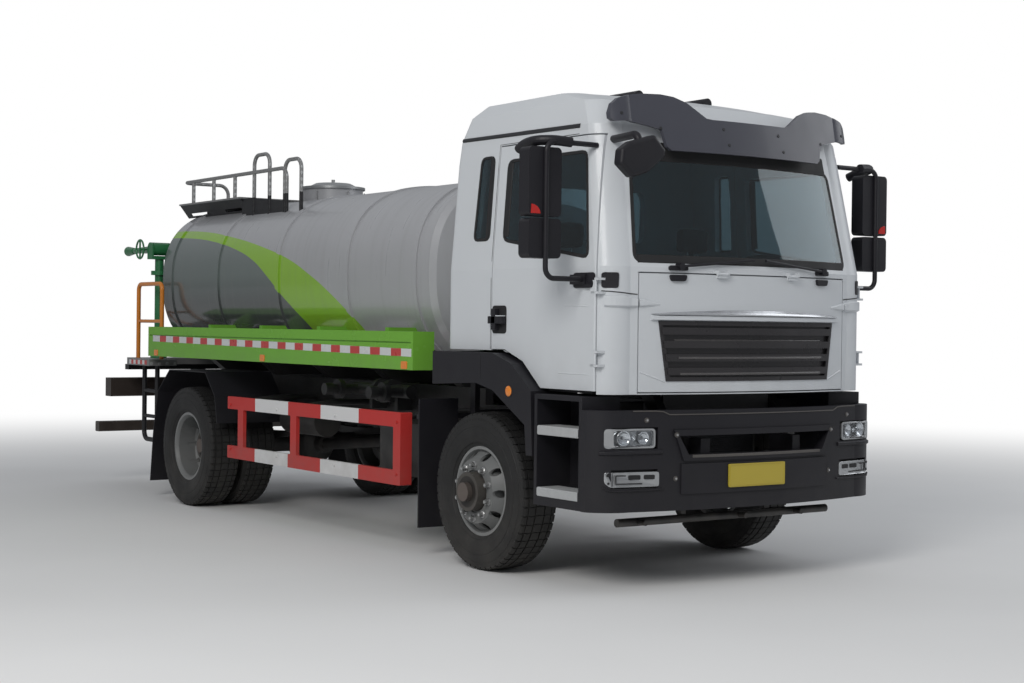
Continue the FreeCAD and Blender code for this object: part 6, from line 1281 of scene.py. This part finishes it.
def box_piece(name, boxes, body, finish, slot_name, **options):
    """One piece from boxes, each given by its low and high corner."""
    shape = bmesh.new()
    for low, high in boxes:
        add_box(shape, at(*low), at(*high))
    mesh_piece(name, shape, body, finish, slot_name, **options)


def radiator():
    box_piece("radiator_core", [((-0.36, -0.985, 0.66), (0.36, -0.925, 1.060))], "chassis", "trim_dark", "engine_iron",
              bevel=0.002)
    box_piece("radiator_tanks", [
        ((-0.37, -1.000, 1.060), (0.37, -0.910, 1.150)), ((-0.37, -1.000, 0.630), (0.37, -0.910, 0.665)),
        ((-0.375, -0.995, 0.640), (-0.355, -0.866, 1.140)), ((0.355, -0.995, 0.640), (0.375, -0.866, 1.140))],
        "chassis", "chassis_black", "engine_iron", bevel=0.006)
    box_piece("splash_shield", [
        ((-0.455, -1.022, 1.060), (0.455, -1.002, 1.196)), ((-0.885, -0.860, 1.000), (-0.480, -0.835, 1.140)),
        ((0.480, -0.860, 1.000), (0.885, -0.835, 1.140))], "chassis", "chassis_black", "engine_iron", bevel=0.003)
    fin = bmesh.new()
    add_box(fin, at(-0.355, -0.990, 0.672), at(0.355, -0.984, 0.676))
    fins = along("fins", fin, 30, (0.0, 0.0, 0.0128), "trim_dark")
    dress("radiator_fins", fins, "chassis", "trim_dark", "engine_iron")


chassis_bolts()
radiator()
print("chassis dressed")

# %% [markdown]
# Clamps hold the manhole lid. The rear deck has reflective tape on its edge, and the tail
# lamps have separate lenses.

# %% Tank and tail
def lid_clamps(middle_y=4.130, count=6):
    """Swing bolts with cross pins round the neck of the manhole."""
    shape = bmesh.new()
    for number in range(count):
        angle = math.tau * (number + 0.5) / count
        way = Vector((math.cos(angle), math.sin(angle), 0))
        foot = at(0, middle_y, 2.700) + way * 0.268
        pin, across = foot + way * 0.006, way.cross(Vector((0, 0, 1))) * 0.018
        add_rod(shape, pin - across, pin + across, 0.009, 10)
        add_rod(shape, foot + way * 0.012, foot + way * 0.012 + Vector((0, 0, 0.092)), 0.006, 10)
    mesh_piece("lid_clamps", shape, "chassis", "bright_steel", "alloy")


def tail_parts(side_name, side):
    for name, finish, spans in (("tail_red_", "lamp_red", ((0.775, 0.890), (1.020, 1.135))),
                                ("tail_amber_", "lamp_amber", ((0.900, 1.010),))):
        lens = bmesh.new()
        for low_x, high_x in spans:
            corners = rounded_box(side * low_x, side * high_x, 0.918, 1.022, 0.012)
            lay_plate(lens, [touch("tail_lamps", at(x, tail_start, z), (0, -1, 0)) for x, z in corners], 0.006)
        mesh_piece(name + side_name, lens, "chassis", finish, "lamp_red", bevel=0.002)


def deck_tape():
    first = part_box("rear_deck")[0].y - shift.y + 0.06
    for name, offset in (("red", 0.0), ("white", 0.0525)):
        tape = bmesh.new()
        for side in (-1.0, 1.0):
            for number in range(4):
                y = first + number * 0.105 + offset
                line = [(y, 1.232), (y + 0.026, 1.232), (y + 0.052, 1.232)]
                lay_strip(tape, side_spots("rear_deck", side, line), 0.040, 0.0015, taper=0.98)
        mesh_piece("deck_tape_" + name, tape, "chassis", "tape_" + name, "deck_plate")


lid_clamps()
for side_name, side in sides:
    tail_parts(side_name, side)
deck_tape()
print("tank and tail dressed")

# %% [markdown]
# ## Seats
# Each seat is a base on a suspension block, a crowned cushion, a back cushion with side
# bolsters and a head pad. The cushions are blown up from slightly smaller blocks by a short
# cloth run with no gravity, and a cap keeps every point within two centimetres of where it
# began.

# %% Padded seats
cushion_voxel, swell_cap, cloth_frames = 0.012, 0.02, 20


def pad_block(low, high, crown):
    """A block with many faces whose sides bulge a little and whose corners pull in."""
    shape = bmesh.new()
    add_box(shape, low, high)
    bmesh.ops.subdivide_edges(shape, edges=shape.edges, cuts=5, use_grid_fill=True)
    middle, half = (low + high) / 2, (high - low) / 2
    for vertex in shape.verts:
        share = [(vertex.co[i] - middle[i]) / half[i] for i in range(3)]
        for axis in range(3):
            first, second = [share[i] for i in range(3) if i != axis]
            vertex.co[axis] += share[axis] * crown * ((1 - first ** 2) * (1 - second ** 2))
        away = sum(abs(value) > 0.8 for value in share)
        if away >= 2:
            vertex.co = middle + (vertex.co - middle) * (0.975 if away == 2 else 0.95)
    return shape


def inflate(name, shape):
    """Swells a closed cushion by cloth pressure and returns its mesh."""
    holder = link(name + "_swell", mesh_of(name, shape))
    remesh = holder.modifiers.new("remesh", "REMESH")
    remesh.mode = "VOXEL"
    remesh.voxel_size = cushion_voxel
    start = evaluated_mesh(holder)
    holder.modifiers.clear()
    holder.data = start
    rest = [vertex.co.copy() for vertex in start.vertices]
    cloth = holder.modifiers.new("cloth", "CLOTH")
    cloth.settings.use_pressure = True
    cloth.settings.uniform_pressure_force = 4.0
    cloth.settings.effector_weights.gravity = 0.0
    cloth.settings.quality = 5
    cloth.point_cache.frame_start = 1
    cloth.point_cache.frame_end = cloth_frames
    for step in range(1, cloth_frames + 1):
        bpy.context.scene.frame_set(step)
    swollen = bpy.data.meshes.new_from_object(holder.evaluated_get(bpy.context.evaluated_depsgraph_get()))
    holder.modifiers.clear()
    holder.data = swollen
    for vertex, place in zip(swollen.vertices, rest):
        move = vertex.co - place
        if move.length > swell_cap:
            vertex.co = place + move.normalized() * swell_cap
    bpy.context.scene.frame_set(1)
    result = holder.data
    bpy.data.objects.remove(holder)
    return result


def seat_parts(side_name, side):
    x = side * 0.560
    for name, low, high, crown in (
            ("seat_cushion_", (x - 0.215, -0.530, 1.585), (x + 0.215, -0.200, 1.680), 0.012),
            ("seat_back_", (x - 0.205, -0.160, 1.690), (x + 0.205, -0.080, 2.110), 0.012),
            ("seat_bolster_in_", (x - 0.238, -0.185, 1.700), (x - 0.200, -0.085, 2.060), 0.006),
            ("seat_bolster_out_", (x + 0.200, -0.185, 1.700), (x + 0.238, -0.085, 2.060), 0.006),
            ("seat_head_pad_", (x - 0.130, -0.155, 2.150), (x + 0.130, -0.090, 2.310), 0.008)):
        data = inflate(name + side_name, pad_block(at(*low), at(*high), crown))
        pad = dress(name + side_name, data, "cab", "seat_cloth", "seat_fabric", smooth=True)
        soften = pad.modifiers.new("soften", "SUBSURF")
        soften.levels = 1
        soften.render_levels = 1
        padded_seats.append(pad)
    box_piece("seat_base_" + side_name, [
        ((x - 0.170, -0.500, 1.290), (x + 0.170, -0.120, 1.420)),
        ((x - 0.205, -0.535, 1.420), (x + 0.205, -0.095, 1.586)),
        ((x - 0.190, -0.092, 1.560), (x + 0.190, -0.064, 2.100))],
        "cab", "trim_dark", "interior", replaced=("seats",), bevel=0.010)
    posts = bmesh.new()
    for post_x in (x - 0.045, x + 0.045):
        add_rod(posts, at(post_x, -0.120, 2.080), at(post_x, -0.120, 2.180), 0.008, 12)
    mesh_piece("seat_posts_" + side_name, posts, "cab", "bright_steel", "alloy")


padded_seats = []
for side_name, side in sides:
    seat_parts(side_name, side)
print("padded pieces", len(padded_seats), "points", [len(pad.data.vertices) for pad in padded_seats])

# %% [markdown]
# The last step brings the scene up to date.

# %% Finish
bpy.context.view_layer.update()
